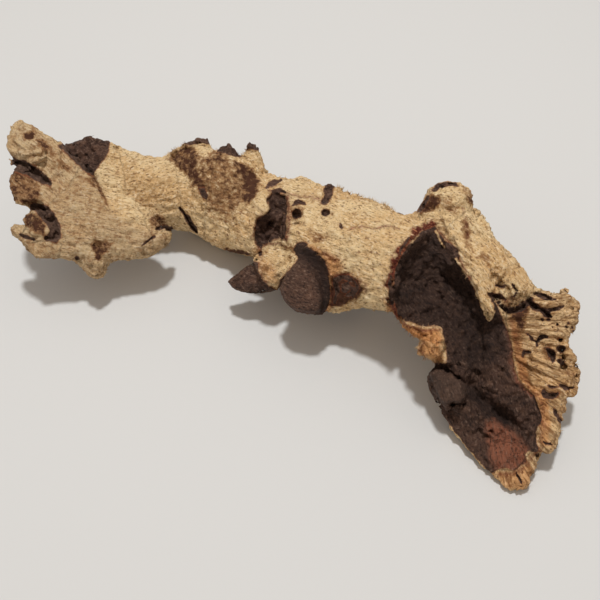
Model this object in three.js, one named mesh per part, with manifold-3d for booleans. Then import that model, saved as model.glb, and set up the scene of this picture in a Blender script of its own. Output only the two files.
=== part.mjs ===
// A piece of mopani driftwood: a gnarled branch that flares into a forked blade at one end and into a
// broad hollowed fan with a wormy burl at the other. It grew as one piece, so it is one solid.
// Millimetres, Z up. The wood is laid out on the floor it rests on, X to the right and Y to the back,
// and at the end it is moved so that the middle of its footprint is the origin.

import * as THREE from "three";
import { ImprovedNoise } from "three/addons/math/ImprovedNoise.js";
import { mergeVertices } from "three/addons/utils/BufferGeometryUtils.js";
import Module from "manifold-3d";

// Driving dimensions
const GNARL_PITCH = 17; // from one swelling of the surface to the next
const GNARL_HEIGHT = 1.5; // how far a swelling stands out on the branch
const FINE_PITCH = 7;
const FINE_HEIGHT = 0.6;
const FLUTE_COUNT = 5; // lengthwise flutes round the branch
const FLUTE_DEPTH = 0.8;
const FLOOR_SKIM = 0.35; // worn off the low points, so that the wood stands on flats
const EYE_HOLE = 3.6; // radius of the larger of the two round holes
const WORM_HOLE = 2.4; // radius of a worm hole in the burl

const wasm = await Module();
wasm.setup();
const noise = new ImprovedNoise();

// Uneven height of old wood at a place, about -1 to 1.
function unevenness(p, pitch) {
  return noise.noise(p.x / pitch + 3.1, p.y / pitch + 7.7, p.z / pitch + 1.3);
}

// A geometry as a solid that can be joined and cut.
function solid(geometry) {
  const bare = geometry.clone();
  bare.deleteAttribute("normal");
  bare.deleteAttribute("uv");
  const merged = mergeVertices(bare, 1e-4);
  const mesh = new wasm.Mesh({
    numProp: 3,
    vertProperties: merged.attributes.position.array,
    triVerts: new Uint32Array(merged.index.array),
  });
  return new wasm.Manifold(mesh);
}

// The share of its full section that a limb has at t, from 0 at its start to 1 at its end.
function endShare(t, ends, cap) {
  const fromStart = Math.min(1, t / cap);
  const fromEnd = Math.min(1, (1 - t) / cap);
  const start = 1 - (1 - ends[0]) * (1 - fromStart) ** 2;
  const end = 1 - (1 - ends[1]) * (1 - fromEnd) ** 2;
  return start * end;
}

// Lofts a limb of wood through its stations. A station is [left, right, front, back]: the two edges of the
// section, left and right as seen from above on the way along the limb, and how far the section swells
// from the line between them to the front (the seen side) and to the back.
function limb(stations, { sides = 20, steps = 4, ends = [0.5, 0.5], cap = 0.12, gnarl = 1, flutes = 0 } = {}) {
  const left = new THREE.CatmullRomCurve3(stations.map((s) => new THREE.Vector3(...s[0])));
  const right = new THREE.CatmullRomCurve3(stations.map((s) => new THREE.Vector3(...s[1])));
  const swell = new THREE.SplineCurve(stations.map((s) => new THREE.Vector2(s[2], s[3])));
  const rings = steps * (stations.length - 1);
  const geometry = new THREE.CylinderGeometry(1, 1, 1, sides, rings);
  const position = geometry.getAttribute("position");
  const point = new THREE.Vector3();
  for (let i = 0; i < position.count; i += 1) {
    point.fromBufferAttribute(position, i);
    const t = THREE.MathUtils.clamp(point.y + 0.5, 0, 1);
    const centre = left.getPoint(t).add(right.getPoint(t)).multiplyScalar(0.5);
    const across = left.getPoint(t).sub(right.getPoint(t)).multiplyScalar(0.5);
    const along = left.getTangent(t).add(right.getTangent(t)).normalize();
    const back = new THREE.Vector3().crossVectors(across, along).normalize();
    const depth = swell.getPoint(t);
    const share = endShare(t, ends, cap);
    const angle = Math.atan2(point.z, point.x);
    const radius = Math.hypot(point.x, point.z);
    const sideways = across.multiplyScalar(point.x * share);
    const outward = back.multiplyScalar(point.z * share * (point.z < 0 ? depth.x : depth.y));
    const offset = sideways.add(outward);
    const place = centre.clone().add(offset);
    const rise =
      gnarl * (GNARL_HEIGHT * unevenness(place, GNARL_PITCH) + FINE_HEIGHT * unevenness(place, FINE_PITCH)) +
      flutes * FLUTE_DEPTH * Math.cos(FLUTE_COUNT * angle + 2 * unevenness(centre, 40));
    place.add(offset.normalize().multiplyScalar(rise * radius));
    position.setXYZ(i, place.x, place.y, place.z);
  }
  return solid(geometry);
}

// A rounded knob or hollow: an egg with its three half sizes, turned by degrees about X, Y and Z.
function egg([x, y, z], [rx, ry, rz], [ax, ay, az] = [0, 0, 0], { sides = 14, gnarl = 1 } = {}) {
  const geometry = new THREE.SphereGeometry(1, sides, Math.round(sides * 0.7));
  geometry.scale(rx, ry, rz);
  const radians = [ax, ay, az].map((degrees) => THREE.MathUtils.degToRad(degrees));
  geometry.applyMatrix4(new THREE.Matrix4().makeRotationFromEuler(new THREE.Euler(...radians)));
  geometry.translate(x, y, z);
  const position = geometry.getAttribute("position");
  const centre = new THREE.Vector3(x, y, z);
  const point = new THREE.Vector3();
  for (let i = 0; i < position.count; i += 1) {
    point.fromBufferAttribute(position, i);
    const rise = gnarl * (unevenness(point, 10) + FINE_HEIGHT * unevenness(point, FINE_PITCH));
    point.add(point.clone().sub(centre).normalize().multiplyScalar(rise));
    position.setXYZ(i, point.x, point.y, point.z);
  }
  return solid(geometry);
}

// A straight round hole of a radius between two places.
function bore(from, to, radius, sides = 8) {
  const start = new THREE.Vector3(...from);
  const end = new THREE.Vector3(...to);
  const along = end.clone().sub(start);
  const geometry = new THREE.CylinderGeometry(radius, radius * 0.8, along.length(), sides);
  const up = new THREE.Vector3(0, 1, 0);
  const turn = new THREE.Quaternion().setFromUnitVectors(up, along.clone().normalize());
  geometry.applyQuaternion(turn);
  geometry.translate(...start.add(end).multiplyScalar(0.5).toArray());
  return solid(geometry);
}

function joined(solids) {
  return solids.reduce((whole, next) => whole.add(next));
}

// The branch itself, from inside the blade to inside the fan. It touches the floor at its second bend.
function trunk() {
  const stations = [
    [[-133, 52, 55], [-127, 20, 31], 11, 14],
    [[-127, 65, 56], [-118, 31, 28], 16, 16],
    [[-117, 78, 53], [-107, 40, 24], 19, 18],
    [[-101, 79, 49], [-95, 44, 21], 20, 20],
    [[-82, 80, 43], [-73, 44, 14], 23, 21],
    [[-56, 80, 42], [-56, 37, 7], 25, 24],
    [[-32, 72, 42], [-36, 28, 8], 26, 24],
    [[-8, 54, 52], [-15, 8, 16], 27, 26],
    [[14, 39, 59], [9, -9, 22], 29, 28],
    [[30, 27, 62], [25, -24, 23], 30, 29],
    [[46, 20, 65], [38, -29, 27], 30, 29],
    [[60, 8, 68], [53, -38, 33], 29, 27],
    [[76, -5, 68], [61, -46, 38], 24, 22],
    [[88, -16, 62], [72, -52, 38], 16, 16],
  ];
  return limb(stations, { sides: 22, steps: 3, ends: [0.6, 0.5], cap: 0.06, flutes: 1 });
}

// The flat blade in front of the left end of the branch, and the broken prongs at its edge.
function blade() {
  const plate = [
    [[-158, 64, 73], [-158, 4, 45], 7, 8],
    [[-151, 65, 73], [-155, 0, 42], 9, 9],
    [[-143, 63, 69], [-144, 0, 39], 10, 11],
    [[-132, 54, 65], [-130, 1, 34], 11, 13],
    [[-123, 43, 60], [-119, 2, 31], 11, 14],
    [[-116, 36, 54], [-106, 7, 31], 11, 14],
    [[-106, 32, 47], [-92, 9, 31], 11, 12],
  ];
  const topProng = [
    [[-171, 77, 77], [-176, 59, 71], 6, 6],
    [[-166, 75, 77], [-168, 53, 70], 8, 8],
    [[-153, 67, 74], [-157, 44, 65], 9, 10],
    [[-139, 58, 69], [-143, 36, 59], 10, 11],
  ];
  const middleProng = [
    [[-173, 49, 65], [-171, 27, 58], 6, 8],
    [[-166, 49, 65], [-164, 25, 57], 8, 10],
    [[-155, 47, 63], [-152, 22, 54], 9, 11],
    [[-140, 45, 60], [-138, 20, 50], 9, 11],
  ];
  const lowerProng = [
    [[-173, 18, 50], [-171, 11, 46], 3, 3],
    [[-165, 18, 50], [-163, 6, 44], 5, 5],
    [[-156, 22, 49], [-155, 0, 41], 7, 7],
    [[-144, 24, 48], [-142, 0, 38], 9, 9],
  ];
  const innerStub = [
    [[-165, 30, 53], [-164, 22, 50], 3, 4],
    [[-158, 32, 54], [-157, 20, 50], 5, 6],
    [[-148, 32, 54], [-147, 20, 49], 7, 8],
  ];
  const options = { sides: 14, steps: 3, ends: [0.8, 0.7], cap: 0.15 };
  return joined([
    limb(plate, { sides: 20, steps: 3, ends: [0.7, 0.8], cap: 0.1 }),
    limb(topProng, options),
    limb(middleProng, options),
    limb(lowerProng, options),
    limb(innerStub, { ...options, sides: 10 }),
  ]);
}

// The two knobs at the lower edge of the blade, and the dark broken horn behind it.
function bladeKnobs() {
  const front = [
    [[-109, 12, 38], [-134, 10, 38], 9, 9],
    [[-113, 5, 33], [-131, 4, 33], 8, 8],
    [[-117, 0, 29], [-129, -1, 29], 6, 6],
    [[-119, -4, 27], [-126, -5, 27], 4, 4],
  ];
  const side = [
    [[-123, 38, 57], [-117, 6, 32], 9, 13],
    [[-113, 40, 53], [-107, 7, 31], 11, 13],
    [[-104, 40, 50], [-97, 8, 29], 12, 12],
    [[-95, 37, 46], [-91, 10, 28], 10, 11],
    [[-87, 30, 39], [-85, 15, 29], 8, 8],
    [[-81, 26, 35], [-79, 18, 29], 4, 4],
  ];
  const horn = [
    [[-145, 74, 62], [-143, 61, 53], 6, 6],
    [[-135, 81, 62], [-135, 60, 47], 10, 10],
    [[-122, 81, 58], [-122, 58, 42], 13, 12],
    [[-110, 78, 52], [-110, 56, 38], 14, 13],
  ];
  const options = { sides: 12, steps: 3, ends: [0.8, 0.5], cap: 0.3 };
  return joined([limb(front, options), limb(side, options), limb(horn, { ...options, ends: [0.8, 0.7] })]);
}

// The swollen knuckle on the branch with its three crests.
function knuckle() {
  const swelling = [
    [[-80, 83, 46], [-71, 58, 30], 10, 10],
    [[-71, 82, 52], [-64, 49, 28], 14, 12],
    [[-58, 79, 56], [-54, 41, 27], 17, 14],
    [[-46, 75, 56], [-42, 38, 28], 17, 14],
    [[-33, 71, 54], [-29, 45, 30], 14, 12],
    [[-24, 70, 47], [-23, 53, 32], 9, 9],
  ];
  const leftCrest = [
    [[-76, 68, 44], [-54, 68, 46], 9, 9],
    [[-73, 76, 51], [-55, 76, 55], 6, 7],
    [[-69, 82, 56], [-57, 82, 59], 4, 4],
  ];
  const middleCrest = [
    [[-53, 64, 46], [-37, 64, 46], 8, 8],
    [[-50, 71, 54], [-38, 70, 54], 6, 6],
    [[-47, 76, 58], [-40, 75, 58], 4, 4],
  ];
  const rightCrest = [
    [[-41, 55, 44], [-20, 52, 42], 10, 9],
    [[-37, 65, 54], [-22, 62, 52], 8, 7],
    [[-33, 74, 60], [-26, 73, 60], 4, 4],
  ];
  const options = { sides: 10, steps: 2, ends: [1, 0.8], cap: 0.3 };
  return joined([
    limb(swelling, { sides: 16, steps: 3, ends: [0.4, 0.4], gnarl: 1.3 }),
    limb(leftCrest, options),
    limb(middleCrest, options),
    limb(rightCrest, options),
  ]);
}

// The stubs on the front of the branch: the pale knob with the dark spike beside it, and the black wedge
// with the dark knob at its side.
function frontStubs() {
  const pale = [
    [[-5, -6, 32], [-14, 8, 46], 11, 10],
    [[-11, -13, 32], [-21, 2, 44], 10, 9],
    [[-16, -16, 33], [-26, -2, 43], 8, 7],
    [[-20, -14, 34], [-27, -4, 41], 5, 5],
  ];
  const spike = [
    [[-43, -5, 25], [-43, -8, 23], 1.5, 1.5],
    [[-36, -3, 29], [-37, -11, 23], 4, 4],
    [[-26, 0, 33], [-26, -13, 24], 7, 7],
    [[-15, 2, 36], [-16, -12, 27], 8, 8],
    [[-4, 6, 40], [-6, -8, 30], 9, 9],
  ];
  const wedge = [
    [[6, -3, 58], [-1, -4, 58], 4, 12],
    [[13, -9, 50], [-6, -12, 49], 10, 14],
    [[15, -22, 44], [-11, -24, 42], 13, 16],
    [[15, -29, 38], [-9, -31, 37], 11, 14],
    [[10, -36, 34], [0, -36, 34], 6, 8],
  ];
  const dark = { sides: 8, steps: 3, ends: [0.7, 0.7], cap: 0.2, gnarl: 0.5 };
  return joined([
    limb(pale, { sides: 14, steps: 3, ends: [1, 0.6], cap: 0.3 }),
    limb(spike, { sides: 12, steps: 3, ends: [0.6, 1], cap: 0.1 }),
    limb(wedge, dark),
    egg([25, -23, 39], [11, 9, 12], [-35, 0, 10], { sides: 12 }),
  ]);
}

// The broad fan that runs from the branch down to the floor, the ridge along its back and the root stub
// under it that props the wood up.
function fan() {
  const plate = [
    [[90, 10, 64], [54, -38, 48], 14, 16],
    [[108, -9, 62], [57, -51, 46], 12, 14],
    [[121, -28, 58], [65, -65, 41], 11, 12],
    [[132, -38, 54], [69, -74, 32], 10, 11],
    [[142, -50, 45], [73, -81, 19], 9, 11],
    [[145, -64, 38], [82, -97, 6], 8, 10],
    [[146, -77, 31], [92, -110, 3.5], 8, 9],
    [[142, -90, 24], [102, -119, 2], 7, 8],
    [[134, -110, 14], [107, -127, 1.5], 6, 6],
    [[127, -118, 8], [111, -131, 1.5], 5, 4],
    [[124, -125, 5], [116, -131, 2], 3, 3],
  ];
  const ridge = [
    [[96, 12, 68], [70, 8, 66], 11, 14],
    [[107, -8, 64], [80, -8, 66], 11, 14],
    [[116, -19, 61], [88, -24, 63], 10, 14],
    [[125, -30, 57], [97, -37, 59], 8, 12],
    [[133, -38, 54], [106, -45, 55], 6, 10],
  ];
  const foot = [
    [[108, 0, 60], [82, -8, 60], 12, 12],
    [[110, 3, 38], [86, -4, 38], 10, 11],
    [[108, 5, 18], [91, 1, 18], 8, 8],
    [[106, 6, -3], [94, 3, -3], 6, 6],
  ];
  return joined([
    limb(plate, { sides: 22, steps: 3, ends: [0.7, 0.7], cap: 0.06 }),
    limb(ridge, { sides: 16, steps: 3, ends: [0.8, 0.6], cap: 0.1 }),
    limb(foot, { sides: 10, steps: 2, ends: [1, 1] }),
  ]);
}

// The stub of a broken branch on top, leaning to the back.
function stump() {
  const stations = [
    [[68, 8, 60], [102, 4, 62], 15, 16],
    [[70, 13, 69], [99, 12, 70], 12, 13],
    [[73, 15, 77], [96, 14, 77], 10, 10],
    [[75, 16, 81], [93, 16, 81], 8, 8],
  ];
  return limb(stations, { sides: 16, steps: 3, ends: [1, 0.85], cap: 0.2 });
}

// The wormy burl down the right edge of the fan.
function burl() {
  const stations = [
    [[129, -34, 56], [118, -38, 54], 4, 8],
    [[144, -40, 54], [124, -46, 49], 7, 9],
    [[153, -47, 47], [127, -54, 43], 9, 9],
    [[147, -58, 42], [123, -66, 37], 9, 9],
    [[151, -73, 33], [122, -80, 29], 9, 9],
    [[147, -84, 27], [121, -92, 23], 8, 9],
    [[139, -105, 18], [121, -104, 18], 7, 8],
    [[137, -115, 13], [121, -112, 13], 6, 6],
  ];
  return limb(stations, { sides: 14, steps: 3, ends: [0.5, 0.7], cap: 0.1, gnarl: 2 });
}

// The splinter that hangs over the hollow, the pale patch of bark and the black flake beside it.
function flakes() {
  const splinter = [
    [[103, -28, 68], [91, -30, 68], 3, 4],
    [[104, -37, 65], [94, -38, 64], 3, 4],
    [[105, -47, 60], [97, -48, 59], 2.5, 3],
    [[105, -55, 56], [101, -56, 55], 1.5, 2],
  ];
  const bark = [
    [[82, -50, 44], [59, -52, 46], 5, 6],
    [[80, -61, 43], [61, -62, 46], 5, 6],
    [[76, -72, 40], [64, -71, 43], 4, 5],
  ];
  const flake = [
    [[88, -74, 33], [73, -75, 29], 5, 6],
    [[92, -82, 29], [73, -82, 23], 5, 6],
    [[90, -90, 23], [76, -90, 17], 4, 5],
  ];
  const options = { sides: 10, steps: 2, ends: [0.9, 0.7], cap: 0.2, gnarl: 0.6 };
  return joined([limb(splinter, options), limb(bark, options), limb(flake, options)]);
}

// The big hollow in the fan's face, from its narrow head below the stump down to the open lower face.
function scoop() {
  const stations = [
    [[77, -11, 76], [71, -11, 76], 12, 8],
    [[82, -23, 75], [58, -24, 74], 20, 16],
    [[90, -38, 71], [53, -36, 67], 24, 22],
    [[99, -48, 65], [52, -44, 57], 24, 20],
    [[111, -57, 54], [58, -58, 47], 20, 12],
    [[116, -70, 44], [70, -71, 38], 16, 6],
    [[120, -84, 34], [81, -80, 27], 14, 3],
    [[127, -96, 26], [94, -92, 16], 12, 2],
    [[126, -108, 16], [105, -107, 9], 8, 1],
  ];
  return limb(stations, { sides: 16, steps: 3, ends: [0.6, 0.5], cap: 0.1, gnarl: 0.6 });
}

// Hollows, notches and holes in the rest of the wood.
function hollows() {
  const plain = { sides: 8, gnarl: 0.4 };
  return joined([
    egg([-14, 20, 63], [6, 7, 9], [-40, 0, 0], { sides: 12 }),
    egg([-19, 9, 54], [9, 9, 11], [-40, 0, 20], { sides: 12 }),
    egg([-16, 41, 60], [4, 1.6, 5], [0, 0, 25], plain),
    egg([-2, 10, 66], [EYE_HOLE, EYE_HOLE, 9], [10, 0, 0], plain),
    egg([14, 8, 70], [EYE_HOLE * 0.7, EYE_HOLE * 0.7, 6], [10, 0, 0], plain),
    egg([16, 27, 69], [2.4, 13, 6], [-20, 0, -20], plain),
    egg([-160, 51, 73], [12, 3, 8], [30, 0, 6], plain),
    egg([-154, 24, 57], [10, 4, 8], [30, 0, -25], plain),
    egg([84, 19, 86], [7, 5, 4], [-35, 0, 0], plain),
    egg([136, -38, 62], [9, 2.5, 6], [0, 10, -15], plain),
    bore([136, -66, 60], [148, -58, 20], WORM_HOLE),
    bore([143, -72, 55], [139, -66, 10], WORM_HOLE * 1.1),
    bore([141, -78, 48], [142, -72, 26], WORM_HOLE * 0.9),
  ]);
}

// Keeps what stands above the floor.
function aboveFloor(wood) {
  const size = 500;
  const block = new THREE.BoxGeometry(size, size, size).translate(0, 0, size / 2 + FLOOR_SKIM);
  return wood.intersect(solid(block));
}

// The largest of the loose bodies that a cut leaves.
function largest(wood) {
  return wood.decompose().reduce((best, next) => (next.volume() > best.volume() ? next : best));
}

function geometryOf(manifold) {
  const mesh = manifold.getMesh();
  const geometry = new THREE.BufferGeometry();
  geometry.setAttribute("position", new THREE.BufferAttribute(mesh.vertProperties, mesh.numProp));
  geometry.setIndex(new THREE.BufferAttribute(mesh.triVerts, 1));
  geometry.computeVertexNormals();
  return geometry;
}

const grown = joined([trunk(), blade(), bladeKnobs(), knuckle(), frontStubs(), fan(), stump(), burl()]);
const weathered = grown.subtract(scoop()).add(flakes()).subtract(hollows());
const geometry = geometryOf(largest(aboveFloor(weathered)));

const wood = new THREE.MeshStandardMaterial({ color: 0xc4aa7e, roughness: 0.9, metalness: 0 });
const driftwood = new THREE.Mesh(geometry, wood);
driftwood.name = "driftwood";
geometry.computeBoundingBox();
const middle = geometry.boundingBox.getCenter(new THREE.Vector3());
driftwood.position.set(-middle.x, -middle.y, -geometry.boundingBox.min.z);

const group = new THREE.Group();
group.add(driftwood);
export default group;
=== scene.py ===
"""Dresses a piece of mopani driftwood: one solid of wood, carved and stained as weather and a sandblaster
left it, on a pale floor under soft light."""

import math

import bpy
import numpy as np
from bpy.props import FloatProperty, FloatVectorProperty, IntProperty, PointerProperty
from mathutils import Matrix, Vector
from mathutils.bvhtree import BVHTree


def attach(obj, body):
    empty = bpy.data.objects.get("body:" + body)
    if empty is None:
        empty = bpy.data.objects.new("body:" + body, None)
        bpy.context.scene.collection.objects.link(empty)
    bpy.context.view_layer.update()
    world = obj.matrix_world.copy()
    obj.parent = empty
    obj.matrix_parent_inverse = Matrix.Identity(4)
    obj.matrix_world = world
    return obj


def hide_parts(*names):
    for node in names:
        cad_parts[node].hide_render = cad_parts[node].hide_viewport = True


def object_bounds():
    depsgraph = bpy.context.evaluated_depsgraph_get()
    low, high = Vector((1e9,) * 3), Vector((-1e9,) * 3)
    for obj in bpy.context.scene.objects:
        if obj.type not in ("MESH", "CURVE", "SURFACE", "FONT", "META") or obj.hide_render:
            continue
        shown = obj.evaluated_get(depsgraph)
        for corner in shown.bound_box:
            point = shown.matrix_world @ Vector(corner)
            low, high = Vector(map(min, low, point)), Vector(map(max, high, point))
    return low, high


bl_info = {
    "name": "Mopani Driftwood",
    "version": (1, 0, 0),
    "blender": (4, 5, 0),
    "location": "View3D > Sidebar > Driftwood",
    "description": "Carves and finishes a piece of mopani driftwood round its solid",
    "category": "Add Mesh",
}

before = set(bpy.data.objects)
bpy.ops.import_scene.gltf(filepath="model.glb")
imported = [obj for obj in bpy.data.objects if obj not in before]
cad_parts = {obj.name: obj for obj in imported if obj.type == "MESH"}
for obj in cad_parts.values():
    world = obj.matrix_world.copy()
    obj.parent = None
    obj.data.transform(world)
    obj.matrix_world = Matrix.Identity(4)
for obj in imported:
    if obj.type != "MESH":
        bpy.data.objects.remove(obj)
CAD_BOX = [list(corner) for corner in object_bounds()]

MM = 0.001
NODE = "driftwood"

# The wood is described as it is seen from in front and above, in the pixels of a picture 600 wide taken
# from this place. Lengths are in millimetres in the frame of the wood.
PICTURE = 600
FOCAL = 900.0
SEEN_CENTRE = np.array([10.8, 23.2, 0.0])
EYE = SEEN_CENTRE + np.array([0.0, -345.0, 441.0])
FORWARD = (SEEN_CENTRE - EYE) / np.linalg.norm(SEEN_CENTRE - EYE)
RIGHT = np.array([1.0, 0.0, 0.0])
UPWARD = np.cross(RIGHT, FORWARD)
# The rows of the picture that hold the wood, the grid points for each pixel, and the depth where nothing is
MAP_TOP = 100
MAP_ROWS = 420
MAP_FINE = 2
NOTHING = 1e6


def path(text):
    """Reads a line or an outline, such as "20,120 50,137": its places, each with two or more numbers."""
    return tuple(tuple(float(number) for number in place.split(",")) for place in text.split())


def paths(text):
    """Reads rows parted by semicolons: the places of each, and after a bar its own numbers."""
    halves = [row.split("|") for row in text.split(";")]
    return [(path(places), *(float(number) for number in numbers.split())) for places, numbers in halves]


# The middle of the wood from the prongs to the tip of the fan, which the grain follows.
GRAIN_LINE = path("""
-166,88,70 -129,60,54 -96,63,42 -70,82,33 -40,83,27 -4,54,36 22,38,42 50,20,46 73,4,52 92,-18,48 110,-46,35 121,-72,18
127,-106,4
""")
# The pixel that the fibres of the raw fan run out from, and how far from it in pixels they keep their width
FAN_POLE = (426, 319)
FAN_REACH = 130

# The edge of the wood against the floor
OUTLINE = path("""
20,120 50,137 63,145 75,142 81,141 85,136 90,136 105,141 125,149 140,154 153,157 165,157 172,152 180,147 187,142
197,140 207,138 209,144 212,150 216,151 222,146 228,144 233,147 240,155 244,155 247,151 246,146 250,143 255,145
259,149 262,157 265,167 268,173 277,177 288,179 302,177 315,182 324,187 330,184 336,188 343,190 350,195 365,198
378,203 387,206 396,213 404,216 412,214 418,208 424,197 430,188 437,183 448,181 460,183 469,188 473,196 473,206
481,213 488,224 497,240 510,253 517,262 526,272 532,281 537,288 547,291 559,293 560,290 563,287 567,289 568,293
572,297 577,303 580,312 578,322 575,330 573,334 568,335 566,339 569,346 573,355 577,363 579,369 578,379 577,390
573,394 568,398 565,404 563,416 560,423 560,435 558,443 556,448 552,451 546,452 541,451 540,457 538,464 535,468
534,474 530,480 528,486 525,490 518,491 511,491 506,488 499,481 489,471 478,462 467,449 452,429 440,410 430,391
427,380 429,372 433,367 436,363 428,357 418,354 417,347 422,341 413,335 404,327 397,318 392,311 383,309 375,309
362,306 350,311 340,313 328,314 318,315 307,314 297,312 288,305 282,298 280,290 270,292 258,294 246,293 236,290
229,284 227,281 240,271 254,262 258,260 254,256 242,254 225,250 214,244 198,235 185,230 170,229 172,234 171,240
166,246 158,251 150,257 140,259 126,260 115,260 110,263 106,271 103,277 97,279 90,276 84,270 78,264 66,259 50,258
36,258 28,250 20,240 12,233 10,229 14,225 22,225 27,228 25,223 23,219 29,213 31,209 26,206 16,203 14,194 10,187 11,179
15,168 19,166 14,159 9,153 5,143 6,136 10,134 12,125
""")
# In mm: the thickness of the wood that fills the outline, a depth that goes through any wood, the thinnest wall
# that a hollow leaves, and the depth from which a hole may go through it
FILL = 5.5
CUT = 90.0
WALL = 4.8
THROUGH = 12.0
# How far in mm a bead may lie behind the nearest wood of its row
BEAD_DROP = 8.0
# The stains and the painted shade reach this deep in mm behind the wood that is seen, and fade over the last part
STAIN_AND_SHADE_REACH = 14.0
STAIN_AND_SHADE_FADE = 6.0

# Deep grooves: (points with their half widths in pixels, depth in mm, raggedness)
TRENCHES = paths("""
18,161,2 24,165,3.4 32,170,4 40,176,3.8 50,184,1.5 | 5 0.5;
34,207,3.5 43,210,4.5 51,217,4 56,228,4 56,237,3 47,238,2.5 | 3.5 0.5;
180,208,1 184,213,1.6 188,219,2.2 193,227,2.2 197,233,0.8 | 7 0.1;
157,229,1 164,227,1.8 170,229,2 | 4 0.2;
331,185,3.5 329,190,4 328,196,3 324,202,3 | 1.8 0.6;
267,188,1 271,184,2.6 276,182,2.4 281,181,0.8 | 3 0.3;
273,191,1.2 279,190,2 285,192,1 | 3 0.4;
142,245,0.6 148,241,1.2 155,236,0.6 | 3 0.6;
293,205,0.8 298,201,1.9 305,204,0.8 | 2 0.3;
430,367,2.5 437,366,3.2 445,369,2 | 6 0.8;
434,367,2 446,370,2.4 458,377,2.8 467,385,3 468,395,3 463,404,2.6 450,405,1.6 | 6 0.6;
489,294,1.5 495,297,2.8 502,297,2 506,300,1 | 5 0.6;
533,294,0.8 541,295,2.2 549,298,1.6 556,300,0.7 | 3.5 0.4;
528,302,1.5 534,306,3.2 541,309,2.6 547,313,3.8 551,316,1.5 | 6 0.7;
549,311,2 556,309,1.2 564,306,0.7 | 3.5 0.3;
527,334,1 531,338,1.6 536,341,1.2 536,346,0.8 | 2.5 0.9;
536,341,0.8 541,338,2.2 547,337,1 | 4 0.6;
523,356,1 525,352,2 529,353,1 | 3 0.6;
548,350,1.5 552,354,3.4 553,361,2 | 4 0.5;
543,391,1.4 546,395,2.4 552,397,2.4 557,394,1.4 | 2.4 0.8;
560,385,0.8 565,388,2 573,388,1.2 | 3 0.5;
548,386,0.7 552,387,1.6 557,387,0.7 | 2 0.4;
554,409,0.7 557,415,1.4 560,422,0.7 | 2 0.5;
543,441,0.7 547,444,1.6 552,445,0.7 | 2.5 0.4;
517,472,0.7 519,478,1.4 521,483,0.7 | 2 0.5;
20,235,0.8 26,237,1.6 34,240,1 | 2.5 0.3;
224,248,1 232,250,2.6 242,253,2.6 250,256,1 | 1.5 0.9;
437,237,1.5 446,253,3 456,269,4 466,284,4 474,300,2 | 4 0.7;
70,150,0.8 82,161,1 92,175,1.2 99,186,1.3 105,197,1.2 109,207,0.7 | 1.6 0.3;
498,303,1.2 507,309,2.4 518,309,2.6 526,304,2.2 532,299,1.2 | 5 1;
496,285,0.8 501,288,1.4 505,286,0.8 | 3 0.6;
512,284,0.8 516,290,1.2 514,296,0.8 | 3 0.8;
414,222,0.6 421,217,1.2 429,214,0.6 | 1 0.7;
336,279,0.8 337,290,1.8 335,303,1.2 | 2.5 0.6;
352,279,0.6 358,288,1.2 353,298,0.6 | 1.8 0.8
""")

# Round and oval holes: (centre and half sizes in pixels, slant in degrees, depth in mm)
HOLES = paths("""
296.7,214 6,5.8 | 0 3.3;
325.4,212.8 3.6,3.2 | 0 2.2;
341,226 1.8,3.4 | -20 2.5;
77,258 2.4,2 | 0 3;
97,248 5,8 | 10 1.6;
560.2,339 2.8,2.6 | 0 6;
561,349.5 4.6,4 | 0 4.5;
562.6,350.8 1.3,1.2 | 0 20;
561,362.5 3.4,4.8 | -25 6;
542.5,320 2,1.6 | 0 2.5;
548.4,320 1.8,1.6 | 0 2.5;
557.2,324.8 1.6,2.2 | 0 3;
557.4,330.3 1.8,2 | 0 3;
565.8,327 2.4,1.8 | 20 3.5;
568.4,323.3 1.8,1.4 | 0 3;
572.8,327.7 1.4,1.4 | 0 3;
552.5,327.7 1.4,1.8 | 0 2.5;
560,301 1.4,1.2 | 0 2;
573,331 1.8,1.2 | 0 2.5;
543.4,404.7 2,1.6 | 20 2;
537.5,455 2,1.6 | 20 3;
540.8,446.3 1.6,1.4 | 0 2;
528,475.4 1.5,1.4 | 0 2;
522,486.7 1.5,1.4 | 0 2;
260,254 2,3 | 0 4;
507,287 1.6,1.4 | 0 2
""")

# The two joined lobes of the dark cavity, and the dark mouth of the stump
CAVITY = path("""
269,196 275,191 286,196 287,208 286,222 286,240 280,238 273,240 265,245 259,249 255,240 254,229 258,219 266,214
270,208 267,201
""")
STUMP_MOUTH = path("431,190 436,184 443,182 456,183 459,187 450,187 441,189 435,193")

# Faces that are broken flat: (outline, furthest change in mm)
FACETS = paths("""
299,261 306,265 313,274 319,285 323,300 320,311 308,312 292,308 283,298 282,283 290,272 | 8;
303,246 312,249 322,259 327,270 329,285 329,300 326,308 323,300 320,285 314,273 306,262 | 7;
62,147 81,142 86,137 90,150 86,166 | 5;
87,137 108,144 107,155 99,164 91,173 89,155 | 5;
13,170 24,171 36,179 41,194 31,202 14,197 9,185 | 5;
259,264 267,261 275,266 279,276 276,286 266,283 259,275 | 2;
229,281 240,275 256,267 260,276 252,284 240,286 | 2;
232,286 246,287 260,283 276,289 262,294 246,293 | 2;
440,212 456,206 470,214 490,242 508,268 500,276 480,268 462,250 446,230 | 2;
340,279 351,280 358,289 351,299 340,302 334,291 | 2
""")

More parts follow.
